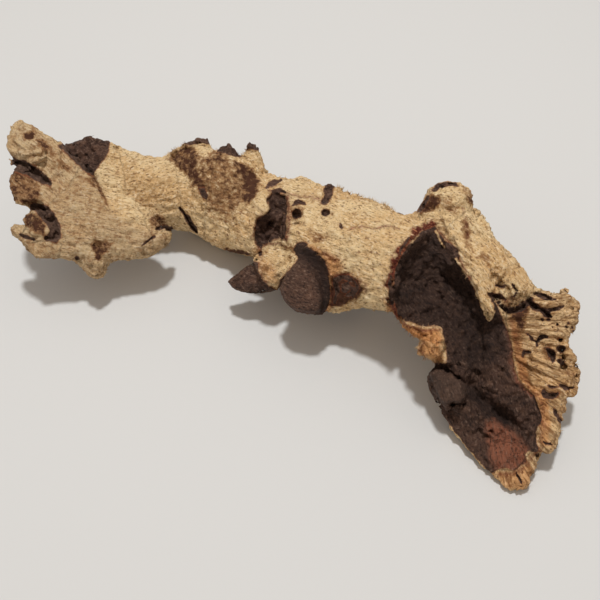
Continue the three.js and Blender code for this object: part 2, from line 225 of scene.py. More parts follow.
# Bark, limbs and splinters
BARK = [path(row) for row in """
396,318 405,325 421,328 441,328 443,338 439,348 424,342 412,335 403,330;
418,346 424,340 440,346 445,361 439,364 429,357 417,354
""".split(";")]
BLADE = path("""
20,120 50,137 64,146 80,158 93,174 103,191 108,206 116,216 130,222 146,231 170,230 168,246 140,262 108,280 80,280
30,262 6,230 30,210 6,190 4,140
""")
FLAKE = path("429,374 437,370 451,376 467,383 467,392 463,398 462,402 454,402 442,404 436,392")
TONGUE = path("""
447,238 458,252 468,272 474,290 480,305 484,316 488,321 492,320 495,312 492,303 490,295 496,286 486,268 470,248
456,234
""")
INNER_STUB = path("23,220 29,214 37,216 47,225 49,232 43,238 34,235 25,228")
SPLINTER = path("10,230 17,225 27,227 35,234 34,240 24,236 15,235")
LIP = path("503,284 515,280 526,282 531,292 527,302 517,305 508,308 500,302 498,294")
KNOB_TIP = path("141,236 150,231 160,230 170,233 170,240 160,249 148,250 140,244")
# Slabs that stand out of the wood round them: (outline, height in mm, softness and raggedness in pixels)
SLABS = [
    (BARK[0], 2.4, 1.2, 1.3),
    (BARK[1], 2.4, 1.2, 1.2),
    (FLAKE, 5.5, 1.4, 0.8),
    (TONGUE, 2.0, 1.4, 0.3),
    (INNER_STUB, 2.5, 2.0, 0.3),
    (SPLINTER, 1.2, 1.4, 0.3),
    (LIP, 4.5, 3.0, 1.8),
    (KNOB_TIP, 1.6, 2.0, 0.8),
    *paths("""
20,154 32,151.5 43,151.5 46,156 43,160 37,161 32,163.5 22,163 | 7.5 2.2 0.1;
531,298 545,299 562,305 556,308 542,306 533,302 | 1.4 1.4 0.2;
504,312 512,312 520,330 524,352 528,380 524,386 516,366 512,340 | 0.8 3 0.3;
530,425 541,428 540,450 552,450 560,430 562,412 550,404 | 1.4 3 0.4
"""),
]

# Ridges, and valleys where below zero: (line, half width in pixels, height in mm, raggedness)
RIDGES = paths("""
309,246 318,251 328,260 331,270 331,282 333,293 331,304 326,314 | 2.2 1.6 0.4;
436,231 439,239 444,247 | 1.6 1.4 0.3;
456,259 463,268 467,277 | 2 1.8 0.3;
306,260 312,267 318,280 321,300 | 1.8 1.5 0.2;
22,123 48,138 64,148 80,164 92,180 103,198 107,206 | 5.5 1.6 0.2;
28,150 48,166 60,180 70,200 | 8 -0.8 0.5;
110,214 124,224 140,232 | 8 -1 0.5;
208,145 211,158 203,176 | 4 -1.8 0.6;
216,156 226,178 228,208 | 8 1.2 0.8;
196,168 203,184 212,204 | 4 -1 0.8;
238,160 244,168 246,186 | 5 -1.4 0.6;
288,195 290,214 288,242 | 4 1.3 0.5;
289,208 291,221 303,221 305,208 297,205 289,208 | 3.4 0.9 0.4;
321,209 326,218 331,211 | 3 0.7 0.4;
312,236 326,239 | 6 -1.2 0.4;
304,247 313,252 323,261 331,274 333,290 330,305 | 3 1.2 0.7;
302,256 310,267 317,280 322,298 | 2.4 0.5 0.1;
329,276 331,288 330,304 | 2.4 -1.8 0.3;
431,228 420,233 408,246 399,260 394,278 391,296 395,316 | 4.5 1.5 1.2;
424,238 412,250 404,266 400,284 400,304 | 5 -1.2 0.8;
442,237 452,250 462,266 470,284 | 3 1.2 0.8;
470,386 482,398 496,411 512,422 | 12 -6 0.6;
450,276 462,302 472,330 478,356 476,374 | 15 -5 0.5;
412,262 420,280 424,300 | 14 1.2 0.8;
440,330 452,350 458,370 | 12 1.6 0.8;
482,424 500,436 514,448 | 10 1.6 0.5;
436,408 450,426 468,450 490,470 | 4 0.8 0.3;
510,316 518,322 522,340 | 5 -1.4 0.3;
431,192 440,188 452,188 462,189 | 2 0.9 0.4;
440,196 438,208 432,218 | 4 -0.8 0.4;
520,300 538,301 556,305 | 3 1 0.4;
541,331 551,334 562,334 | 4 0.9 0.5;
526,349 540,351 546,346 | 4 0.9 0.5;
524,360 540,368 558,374 574,378 | 3 1 0.4;
526,366 542,378 560,384 | 2.6 -1 0.4;
526,374 542,386 560,396 | 3 1 0.4;
546,400 556,404 564,404 | 3 -1.2 0.4;
540,410 548,424 554,440 | 3 0.8 0.4;
281,192 292,193 305,194 320,197 | 1.6 -1.2 0.5;
346,229 360,226 376,229 400,228 | 1.6 -0.9 0.5;
454,214 462,226 468,240 474,256 | 2 -0.9 0.8;
470,226 486,246 500,266 | 1.6 -0.8 0.6;
462,206 466,222 466,236 | 1.6 0.8 1.2;
414,222 420,218 428,214 | 2 -0.8 0.6
""")

# Rims and edges where the wood crumbles: (line, half width in pixels, height in mm)
CRUMBLING = paths("""
391,298 393,308 397,318 404,326 | 5 3;
386,302 390,314 396,324 | 4 2;
431,228 418,234 406,248 397,262 392,280 390,300 394,318 404,327 420,331 | 7.5 4.2;
440,234 450,248 460,264 470,284 478,300 | 3 2.6;
334,187 346,191 360,196 378,201 392,211 | 4 2.6;
496,272 506,286 514,298 526,294 | 11 4.5;
496,300 508,306 520,303 530,296 | 6 3.6;
402,328 418,340 420,352 430,362 442,362 | 6 3.6;
304,246 316,251 328,260 338,262 | 6 2.4;
255,246 268,244 284,243 | 4 2.4;
90,262 95,272 104,272 112,262 | 8 2.4;
144,252 158,250 170,240 | 7 2.6;
170,156 178,148 190,144 206,142 222,150 240,156 256,150 | 6 2.6;
532,448 538,460 530,478 518,488 | 4 2;
560,296 574,310 576,328 568,338 576,358 577,380 566,398 560,430 | 4 1.8;
332,278 346,275 360,284 362,296 346,306 | 6 3;
406,330 422,337 438,344 436,358 | 9 2.4
""")

# Wood added as rounded beads: rows of (u, v, mm in front of the wood seen there, radius in mm)
BEADS = [path(row) for row in """
15,151,-2.5,3.6 26,156,-2.5,4.4 38,165,-2.5,4.6 52,177,-3,4.6;
16,164,-5,3 25,169,-6,4 38,178,-6,4;
30,204,-6,3.5 39,209,-6,4 50,216,-6,4;
27,219,-2,3 38,225,-2.4,4 47,231,-3.4,3.4;
146,243,-2.6,4 156,240,-2.6,4.6 165,237,-3,3.6;
12,137,-1,2 10,146,-0.5,2.6 14,157,-1,2.4;
184,146,-1.5,2.2 195,143,-1.2,2.4 205.5,142.5,-1,2;
220,152,-1.5,1.8 227.5,148.5,-1,2 236,154,-1.5,2;
249,147,-1,1.5 251,149,-1,2 257,153,-1,2.6 262,163,-1.5,2.4;
85,140,-1.5,2.2 90,141,-1.5,2.6 104,145,-2,3;
564,293,-1,0.9 562.5,290.5,-1,0.9 565,289,-1,0.9 567,291,-1,0.9;
337,189,-1,1.3 341,190,-0.6,1.1;
348,193.5,-1,1.2 352,195,-1,1.3;
361,197,-1,1.2 366,198.5,-0.8,1.3;
374,201.5,-1,1.2 378,204,-1,1.2;
300,178,-1,1 304,178.5,-1,1.1
""".split(";")]

# Dark heartwood laid bare
HORN = path("58,146 70,142 80,140 84,132 90,134 110,142 108,153 99,164 93,176 84,170 70,157")
GROOVE_FLOOR = path("11,156 26,163 38,170 51,181 51,186 42,184 28,176 13,170")
POCKET = path("31,206 38,205 48,209 54,218 59,230 61,238 56,242 49,240 45,237 50,231 48,225 38,215")
SPIKE = path("258,263 254,262 240,271 224,278 224,289 240,297 256,299 278,292 268,285 262,279 257,271")
WEDGE = path("""
294,250 297,243 304,242 314,248 324,259 328,270 331,284 331,298 327,314 312,319 292,316 279,304 277,292 280,280
289,271 298,259
""")
HOLLOW = path("""
435,227 424,231 415,236 406,249 399,260 395,272 393,288 394,302 398,316 407,321 420,325 442,326 446,345 447,363
437,366 428,368 425,378 430,398 438,414 448,432 468,456 488,476 500,468 508,468 515,471 519,466 526,461 525,455
529,450 535,451 538,448 536,440 535,431 539,424 542,420 538,407 535,396 526,390 519,381 514,370 512,352 509,336
504,322 497,306 492,296 478,291 468,278 458,262 448,248 441,236
""")
DARK_FORMS = (HORN, GROOVE_FLOOR, POCKET, SPIKE, WEDGE, HOLLOW, CAVITY, STUMP_MOUTH)
# Smooth worn or split wood: (outline, share of the roughness taken away)
CALM = ((WEDGE, 0.8), (SPIKE, 0.5), (FLAKE, 0.6))
# Small dark spots and edges
DARK_SPOTS = [path(row) for row in """
321,212 324,209 329,210 329,215 325,217 321,215;
341,284 348,281 352,287 347,293 341,292;
417,235 411,237 404,247 399,256 400,248 408,237;
391,272 388,284 389,300 393,310 394,296 392,284;
443,241 450,243 458,250 460,262 453,259 447,251;
460,262 467,272 466,277 461,270;
184,143 190,139 200,137 208,137 210,144 200,143 190,145;
216,152 222,145 227,142 234,147 242,156 234,156 226,153;
245,151 249,141 258,147 260,152 252,149;
198,188 204,188 208,195 206,200 200,196;
333,278 340,275 349,275 356,282 351,282 343,279 337,283 335,292 338,300 332,304 331,290;
352,286 359,288 356,294 348,298 344,296 350,292;
416,212 421,203 427,196 431,195 427,204 421,212
""".split(";")]

# Brown stains, from straw at 0 through mid brown at 0.5 to dark brown at 1, with some rows of painted shade: (outline,
# strength, softness)
# Painted shade among them: the row from 200,198 darkens the shaded lower side of the knuckle, the row from 463,189 the
# shaded right side of the stump, and the rows from 500,296 and 510,306 the shadow under the frayed lip; the row from
# 507,304 is partly brown stain and partly that painted shadow
STAINS_AND_SHADE = [
    (BLADE, 0.2, 6),
    *paths("""
197,160 213,152 227,154 238,165 246,176 250,189 246,203 236,211 225,216 213,213 205,202 196,187 188,174 | 0.62 5;
169,160 174,151 185,146 197,149 200,158 198,168 205,182 209,196 203,200 196,190 188,178 178,168 | 0.85 4;
238,160 246,164 255,172 261,180 258,192 250,203 243,203 244,190 241,178 | 1 3;
212,150 222,152 226,162 220,168 212,162 | 0.8 3;
232,158 240,160 242,172 236,174 | 0.9 3;
246,165 253,170 259,180 257,189 250,196 248,184 244,174 | 1.06 4;
150,217 158,213 166,217 167,226 158,231 150,227 | 0.7 3;
200,198 214,206 236,208 250,203 242,220 224,226 208,216 | 0.4 6;
89,243 98,240 107,240 113,244 108,252 101,257 98,262 93,254 | 0.8 4;
94,250 100,249 102,257 98,262 94,258 | 1 2;
310,233 318,231 328,234 326,242 314,243 | 0.6 3;
257,264 265,262 270,268 267,276 260,275 | 0.4 3;
34,137 44,138 53,146 57,155 46,152 37,146 | 0.74 4;
54,157 66,161 75,173 64,173 | 0.76 4;
80,175 92,178 102,190 92,187 | 0.72 3;
84,164 93,174 101,187 109,206 105,204 96,188 88,174 | 0.8 2;
30,124 40,132 52,146 62,158 56,160 44,150 32,136 | 0.45 4;
507,304 520,306 531,300 528,314 523,330 512,324 | 0.9 4;
10,168 24,166 36,175 42,190 36,204 24,206 12,200 8,186 | 0.72 3;
24,133 30,131 36,135 33,140 26,139 | 1 2;
34,136 44,142 54,152 60,164 54,164 44,154 34,146 | 0.45 4;
24,216 31,213 40,217 47,226 44,237 34,233 25,226 | 0.9 3;
62,176 78,184 92,186 96,180 84,178 | 0.35 4;
421,213 424,203 430,195 439,195 440,202 434,210 | 1 3;
463,189 473,190 475,206 468,204 | 0.7 3;
443,197 452,200 459,211 450,215 441,206 | 0.5 4;
461,219 468,223 472,240 468,249 462,236 | 0.65 4;
468,243 481,249 495,262 488,269 474,259 | 0.4 5;
500,296 512,297 524,299 516,306 502,307 | 0.6 4;
510,306 516,308 521,324 524,342 517,344 511,326 | 0.5 3;
543,346 551,346 556,356 553,364 546,360 | 0.7 3;
541,390 550,388 560,392 558,399 546,400 | 0.6 3;
560,366 570,370 577,374 576,378 566,376 | 0.6 3;
333,275 346,271 357,279 364,290 356,299 342,306 330,308 330,290 | 1.15 3;
290,206 297,205 304,208 305,218 297,222 289,219 | 0.5 3;
320,208 328,207 331,214 324,218 | 0.6 3;
292,206 298,200 306,204 300,205 | 0.9 2;
150,232 160,236 152,246 144,244 | 0.4 3;
222,248 236,249 250,253 248,258 230,255 | 1 2;
254,240 260,246 264,256 258,260 254,250 | 0.5 3;
285,244 298,244 298,258 288,262 | 0.35 4
"""),
]
# Heartwood that is redder than the rest
REDDISH = [path(row) for row in """
484,424 494,418 506,424 518,436 528,448 526,460 512,472 500,474 490,462;
508,318 514,324 517,346 519,368 527,386 540,398 530,396 516,380 510,352
""".split(";")]
# Thin edges where pale wood shows at the side of the dark: (line, half width)
PALE_EDGES = paths("""
309,246 318,251 328,260 331,270 331,282 333,293 331,304 326,314 | 1.5;
418,236 411,243 | 1;
436,231 439,239 444,247 | 1;
456,259 463,268 466,276 | 1.3;
449,426 467,451 478,463 490,474 500,483 | 1.8;
431,196 438,191 448,188.5 460,189 | 1.6;
404,240 407,234 412,232 | 1
""")
# Wood in deep shade, darkened with painted shade: (outline, strength)
PAINTED_SHADE_AREAS = [
    (HOLLOW, 0.3),
    *paths("""
294,246 306,243 316,249 326,262 331,286 329,313 319,315 322,297 314,272 303,261 293,256 | 0.95;
434,228 396,262 392,300 398,318 444,330 450,364 500,366 508,340 497,306 478,291 458,262 | 0.72;
434,229 440,238 456,262 474,292 486,322 488,352 480,372 466,372 458,340 448,300 430,270 420,246 | 0.8;
466,384 476,386 496,404 516,420 512,430 496,422 476,408 464,396 | 1;
404,262 416,250 424,270 416,300 402,306 396,286 | 0.45
"""),
]
# Rust-red and orange fringes, where heartwood meets sapwood: (line, half width, strength)
FRINGES = paths("""
304,245 315,251 325,260 331,273 333,288 332,303 326,314 | 3 0.45;
324,252 331,256 337,263 | 4.5 0.6;
331,277 342,273 353,276 365,285 366,293 | 3 0.7;
287,196 289,208 289,225 287,242 | 3.2 0.9;
270,191 285,192 300,196 318,198 322,204 | 3 0.7;
434,225 423,229 412,235 403,247 396,260 392,275 390,290 391,304 396,318 | 7 1.4;
439,230 449,245 460,261 470,279 | 3 0.9;
256,247 266,244 280,243 286,248 | 3 0.8;
262,256 258,264 262,276 272,287 | 2.4 0.5;
512,322 517,345 520,370 530,388 541,400 544,420 541,436 540,448 | 4.5 0.4;
538,450 526,466 514,474 500,474 492,476 | 4 0.6;
256,206 262,212 254,226 252,240 | 2.5 0.5;
350,229 362,226 376,229 388,226 400,229 | 1.8 0.8;
396,318 410,327 424,330 441,330 | 3 0.8;
423,342 418,350 428,358 440,364 | 3 0.6;
463,208 466,222 467,238 | 2 0.6;
106,143 107,152 99,164 92,174 | 2.4 0.6;
416,214 424,198 432,190 | 2.4 0.5
""")
# Raw torn wood, and wood with a warm orange tint: (outline, strength)
RAW_FAN = path("""
527,300 536,293 548,288 566,288 582,306 584,330 570,337 584,370 580,392 568,404 562,430 556,454 545,454 540,470
526,494 500,490 486,474 500,469 515,471 526,458 534,448 536,430 541,420 535,397 520,382 514,368 510,340 506,322
507,310 520,308
""")
WARM = [
    (RAW_FAN, 0.25),
    (BARK[0], 0.9),
    (BARK[1], 0.8),
    *paths("""
495,472 515,472 528,462 534,470 524,492 504,488 | 0.7;
514,380 526,384 548,388 540,404 550,430 552,450 540,444 540,418 528,394 | 0.6;
385,302 394,306 400,322 390,322 | 0.8;
305,243 318,248 340,258 344,268 334,277 334,300 328,315 325,312 330,290 326,268 314,252 | 0.7;
511,320 518,322 524,350 530,378 548,398 552,424 548,446 540,446 538,400 520,382 512,350 | 0.8;
258,262 266,260 276,266 278,284 266,282 | 0.4
"""),
]

# The masks that the material reads: stains, and one of painted shade that darkens the wood in deep shade
STAIN_AND_SHADE_NAMES = ("heart", "brown", "red", "rust", "warm", "raw", "painted_shade", "grey")
# What each pattern runs along, the spacing of its lumps in mm, its detail and its roughness. The fibres of mopani
# are some 0.02 mm across, its pores 0.1 mm and the blasting grit 0.3 mm, too fine to show here, so fibres and pores
# are drawn 1.1 mm across and grit 1.3 mm. The streaks and lines are 1.5 to 2.5 mm wide, as the real grain is.
PATTERNS = {
    "clouds": ("place", (20, 20, 20), 3.0, 0.55),
    "blotch": ("place", (3.6, 3.6, 3.6), 4.0, 0.65),
    "streaks": ("grain", (12, 1.6, 1.6), 4.0, 0.6),
    "lines": ("grain", (40, 1.5, 2.5), 3.0, 0.55),
    "fibres": ("grain", (5.5, 1.1, 1.1), 3.0, 0.75),
    "grit": ("place", (1.3, 1.3, 1.3), 3.0, 0.75),
    "pores": ("grain", (2.6, 1.1, 1.1), 1.0, 0.5),
}
# Coats of colour laid one over the other: (pattern, its value where the coat starts and where it is full, the
# coat's greatest share, the mask of stain or painted shade that holds it, its colour or another wood)
COATS = {
    "rusty": (("fine", 0.5, 0.64, 1.0, None, "#C9855C"),),
    "heartwood": (
        ("clouds", 0.3, 0.7, 1.0, None, "#5E4336"),
        ("blotch", 0.45, 0.75, 0.6, None, "#7E5C48"),
        ("streaks", 0.25, 0.6, 1.0, "red", "#A8684C"),
        ("fine", 0.52, 0.64, 0.6, None, "#A08370"),  # paler on its high spots
        # painted shade in the heartwood's low spots, between the high ones
        ("fine", 0.48, 0.38, 0.85, None, "#1C110D"),
        (None, 0, 0, 0.25, "grey", "#715C4E"),
        # painted shade: the wood in deep shade is darkened nearly to black
        (None, 0, 0, 0.8, "painted_shade", "#1A0F0C"),
    ),
    "sapwood": (
        ("clouds", 0.35, 0.66, 1.0, None, "#E2BC86"),
        ("streaks", 0.46, 0.74, 0.5, None, "#C09868"),
        ("blotch", 0.5, 0.74, 0.45, None, "#B0865A"),
        ("fine", 0.5, 0.62, 0.75, None, "#FCE8C4"),
        # painted shade in the sapwood's low spots, between the raised fibres and grit
        ("fine", 0.48, 0.36, 0.85, None, "#80593A"),
        ("pores", 0.6, 0.7, 0.7, None, "#74492B"),
        ("lines", 0.44, 0.62, 0.75, "raw", "#866038"),
        (None, 0, 0, 0.42, "grey", "#A88E72"),
        (None, 0, 0, 0.8, "warm", "#E0A468", "MULTIPLY"),
        ("patchy", 0.3, 0.85, 0.85, None, "#966A42"),  # stains and some painted shade, from straw through brown
        ("patchy", 0.75, 1.15, 0.95, None, "#4C2C1E"),  # to dark brown
        ("blotch", 0.25, 0.5, 1.0, "rust", "rusty"),
        ("ragged", 0.56, 0.82, 0.7, None, "#8A4E32"),
        ("ragged", 0.82, 0.96, 1.0, None, "heartwood"),
    ),
}


def smooth(x):
    """Eases from 0 to 1 as x goes from 0 to 1."""
    x = np.clip(x, 0.0, 1.0)
    return x * x * (3.0 - 2.0 * x)


LATTICE_SIDE = 32
LATTICE = np.random.default_rng(11).random((LATTICE_SIDE,) * 3).astype(np.float32) * 2 - 1


def rough(points, pitch, shift=0.0):
    """Random heights from -1 to 1 that vary smoothly over one pitch, in mm or one for each axis."""
    q = points / pitch + shift
    cell = np.floor(q).astype(np.int32)
    share = smooth(q - cell).astype(np.float32)
    total = np.zeros(len(points), np.float32)
    for corner in np.ndindex(2, 2, 2):
        i, j, k = ((cell + corner) % LATTICE_SIDE).T
        x, y, z = (share[:, a] if corner[a] else 1 - share[:, a] for a in range(3))
        total += LATTICE[i, j, k] * x * y * z
    return total


def sight(points):
    """Where points show in the picture, in pixels, and how deep they lie."""
    q = points - EYE
    deep = q @ FORWARD
    return PICTURE / 2 + FOCAL * (q @ RIGHT) / deep, PICTURE / 2 - FOCAL * (q @ UPWARD) / deep, deep


def sight_line(u, v):
    """The way from the eye through a pixel, one mm deep."""
    return FORWARD + RIGHT * ((u - PICTURE / 2) / FOCAL) - UPWARD * ((v - PICTURE / 2) / FOCAL)


def between(grid, x, y):
    """A grid's values at places between its points, and the four values round each of them."""
    x = np.clip(x, 0, grid.shape[1] - 1.001)
    y = np.clip(y, 0, grid.shape[0] - 1.001)
    i, j = x.astype(int), y.astype(int)
    fx, fy = x - i, y - j
    ring = [grid[j + b, i + a] for b, a in np.ndindex(2, 2)]
    top, low = ring[0] * (1 - fx) + ring[1] * fx, ring[2] * (1 - fx) + ring[3] * fx
    return top * (1 - fy) + low * fy, ring


class Chart:
    """The picture's pixels as a grid, on which hollows, ridges and stains are drawn as they are seen."""

    def __init__(self):
        rows, columns = MAP_ROWS * MAP_FINE, PICTURE * MAP_FINE
        v, u = np.mgrid[0:rows, 0:columns].astype(np.float32)
        self.u = (u + 0.5) / MAP_FINE
        self.v = (v + 0.5) / MAP_FINE + MAP_TOP
        self.flat = np.stack([self.u.ravel(), self.v.ravel(), np.zeros(u.size, np.float32)], 1)
        self.wander_u = self.noise(7.0, 3.3) * 1.6 + self.noise(2.6, 9.1) * 0.8
        self.wander_v = self.noise(7.0, 17.7) * 1.6 + self.noise(2.6, 27.9) * 0.8

    def noise(self, pitch, shift):
        """Random values on the grid, with their pitch in pixels."""
        return rough(self.flat, pitch, shift).reshape(self.u.shape)

    def empty(self):
        """A chart of noughts."""
        return np.zeros(self.u.shape, np.float32)

    def window(self, outline, margin):
        """The slice of the grid within a margin of an outline."""
        low = np.min(outline, 0) - margin
        high = np.max(outline, 0) + margin
        columns = slice(*(int(np.clip(x * MAP_FINE, 0, self.u.shape[1])) for x in (low[0], high[0])))
        rows = slice(*(int(np.clip((y - MAP_TOP) * MAP_FINE, 0, self.u.shape[0])) for y in (low[1], high[1])))
        return rows, columns

    def away(self, line, box, ragged=0.0, closed=False):
        """Distance in pixels from a line, and for a closed one whether the grid's pixels are inside."""
        u = self.u[box] + ragged * self.wander_u[box]
        v = self.v[box] + ragged * self.wander_v[box]
        ends = [*line, line[0]] if closed else line
        least = np.full(u.shape, 1e9, np.float32)
        inside = np.zeros(u.shape, bool)
        for (au, av), (bu, bv) in zip(ends[:-1], ends[1:]):
            du, dv = bu - au, bv - av
            t = np.clip(((u - au) * du + (v - av) * dv) / (du * du + dv * dv + 1e-9), 0, 1)
            least = np.minimum(least, (u - au - t * du) ** 2 + (v - av - t * dv) ** 2)
            if closed:
                crosses = (av > v) != (bv > v)
                inside ^= crosses & (u < au + (v - av) * du / (dv if dv else 1e-9))
        return np.sqrt(least), inside

    def stroke(self, line, half_width, ragged=0.0):
        """A soft line: its part of the grid, and its strength there from 0 to 1."""
        box = self.window(line, half_width + 4)
        return box, smooth(1 - self.away(line, box, ragged)[0] / half_width)

    def groove(self, line, ragged, wider=1.0):
        """A line whose places have their own half widths."""
        box = self.window([place[:2] for place in line], 8)
        u = self.u[box] + ragged * self.wander_u[box]
        v = self.v[box] + ragged * self.wander_v[box]
        least = np.full(u.shape, 1e9, np.float32)
        for (au, av, aw), (bu, bv, bw) in zip(line[:-1], line[1:]):
            du, dv = bu - au, bv - av
            t = np.clip(((u - au) * du + (v - av) * dv) / (du * du + dv * dv), 0, 1)
            away = np.hypot(u - au - t * du, v - av - t * dv)
            least = np.minimum(least, away / ((aw + t * (bw - aw)) * wider))
        return box, smooth(1 - least)

    def patch(self, outline, soft=1.5, ragged=0.5):
        """A filled outline with a soft and ragged edge: its part of the grid, and its strength there."""
        box = self.window(outline, soft + 6)
        far, inside = self.away(outline, box, ragged, closed=True)
        return box, smooth(0.5 + np.where(inside, far, -far) / (2 * soft))

    def bowl(self, centre, half, turn=0.0, wall=0.35, ragged=0.2):
        """An oval with steep sides. half is its two half sizes and turn its slant in degrees."""
        box = self.window([centre], max(half) + 4)
        u = self.u[box] + ragged * self.wander_u[box] - centre[0]
        v = self.v[box] + ragged * self.wander_v[box] - centre[1]
        c, s = math.cos(math.radians(turn)), math.sin(math.radians(turn))
        r = np.hypot((c * u + s * v) / half[0], (c * v - s * u) / half[1])
        return box, smooth((1 - r) / wall)

    def flatten(self, front, outline, most):
        """What brings the wood inside an outline to a plane, in mm towards the eye, and its strength."""
        box, share = self.patch(outline, 1.5, 0.15)
        sides = np.stack([self.u[box], self.v[box], np.ones(share.shape, np.float32)], -1)
        seen = (share > 0.5) & (front[box] < NOTHING)
        plane = np.linalg.lstsq(sides[seen], front[box][seen], rcond=None)[0]
        lift = np.where(front[box] < NOTHING, np.clip(front[box] - sides @ plane, -most, most), 0)
        return box, lift * share

    def read(self, chart, u, v):
        """A chart's values at pixels, between its grid points."""
        return between(chart, u * MAP_FINE - 0.5, (v - MAP_TOP) * MAP_FINE - 0.5)[0]


def most_of(chart, layers):
    """The strongest of several layers. Each is its part of the grid and its strength there."""
    total = chart.empty()
    for box, amount in layers:
        total[box] = np.maximum(total[box], amount)
    return total


def scaled(layer, amount):
    """A layer with its strength multiplied."""
    box, strength = layer
    return box, strength * amount


def draw_relief(chart, front):
    """How far the seen wood is lifted towards the eye in mm, or dug away where it is below zero."""
    height = chart.empty()
    for outline, most in FACETS:
        box, lift = chart.flatten(front, outline, most)
        height[box] += lift
    for outline, lift, soft, ragged in SLABS:
        box, share = chart.patch(outline, soft, ragged)
        height[box] += lift * share
    for line, half_width, lift, ragged in RIDGES:
        box, share = chart.stroke(line, half_width, ragged)
        height[box] += lift * share
    crumbs = chart.noise(3.0, 40.2) + 0.6 * chart.noise(1.7, 51.3)
    for line, half_width, lift in CRUMBLING:
        box, share = chart.stroke(line, half_width, 0.5)
        height[box] += lift * share * crumbs[box]
    raw = most_of(chart, [chart.patch(RAW_FAN, 4.0, 0.5)])
    du, dv = chart.u - FAN_POLE[0], chart.v - FAN_POLE[1]
    rays = np.stack([np.hypot(du, dv).ravel(), np.arctan2(dv, du).ravel() * FAN_REACH, np.zeros(du.size)], 1)
    fibres = rough(rays, (40.0, 7.0, 1.0), 7.0)
    height += raw * fibres.reshape(du.shape) * 1.6
    dug = [scaled(chart.groove(line, ragged, 1.2), depth) for line, depth, ragged in TRENCHES]
    dug += [scaled(chart.bowl(centre, half, turn), depth) for (centre, half), turn, depth in HOLES]
    dug += [scaled(chart.patch(CAVITY, 1.2, 0.6), 6.0), scaled(chart.patch(STUMP_MOUTH, 1.2, 0.3), 1.2)]
    for hole in (((271, 225), (5, 8), 15), ((284, 213), (2.6, 6), 0)):
        dug.append(scaled(chart.bowl(*hole, 0.5), 9.5))
    lumps = chart.noise(6.0, 22.2) * most_of(chart, [chart.patch(CAVITY, 2.0, 0.3)])
    height += lumps * 1.6 - most_of(chart, dug)
    # The outline cuts off what sticks out, and pulls the edge of the wood out to it
    box, _ = chart.patch(OUTLINE, 6.0)
    far, inside = chart.away(OUTLINE, box, 0.25, closed=True)
    cut = smooth(np.where(inside, 0, far) / 0.8)
    height[box] = np.where(front[box] < NOTHING, height[box] - cut * CUT, height[box])
    return height


def draw_finish(chart):
    """The stains and the painted shade as charts from 0 to 1."""
    heart = most_of(chart, [chart.patch(outline, 3.2, 0.5) for outline in DARK_FORMS])
    for outline in (TONGUE, *BARK):
        box, share = chart.patch(outline, 1.6, 0.4)
        heart[box] *= 1 - share
    dark = [chart.patch(outline, 2.0, 0.4) for outline in DARK_SPOTS]
    dark += [scaled(chart.groove(line, ragged, 1.8), 1.6) for line, depth, ragged in TRENCHES if depth > 1.6]
    wide = [(centre, [h * 1.2 for h in half], turn, 0.5) for (centre, half), turn, depth in HOLES if depth > 2.4]
    dark += [scaled(chart.bowl(*hole), 0.95) for hole in wide]
    heart = np.maximum(heart, np.minimum(most_of(chart, dark), 1))
    for line, half_width in PALE_EDGES:
        box, share = chart.stroke(line, half_width * 1.6, 0.2)
        heart[box] *= 1 - np.minimum(share * 2, 1)
    box, share = chart.patch(INNER_STUB, 1.6, 0.3)
    heart[box] *= 1 - share
    brown = most_of(chart, [scaled(chart.patch(line, soft, 0.8), strength) for line, strength, soft in STAINS_AND_SHADE])
    red = most_of(chart, [chart.patch(outline, 4.0, 1.5) for outline in REDDISH])
    strokes = [scaled(chart.stroke(line, width, 0.3 * width), strength) for line, width, strength in FRINGES]
    rust = most_of(chart, strokes)
    warm = most_of(chart, [scaled(chart.patch(outline, 3.0, 0.6), strength) for outline, strength in WARM])
    raw = most_of(chart, [chart.patch(RAW_FAN, 3.0, 0.6)])
    # Painted shade over the wood in deep shade
    painted_shade = most_of(chart, [scaled(chart.patch(outline, 8.0, 1.0), strength) for outline, strength in PAINTED_SHADE_AREAS])
    grey = most_of(chart, [chart.patch(BLADE, 5.0, 1.5), chart.patch(FLAKE, 2.0), chart.patch(INNER_STUB, 2.0)])
    calm = most_of(chart, [scaled(chart.patch(outline, 2.0), share) for outline, share in CALM])
    return dict(heart=heart, brown=brown, red=red, rust=rust, warm=warm, raw=raw, painted_shade=painted_shade, grey=grey, calm=calm)


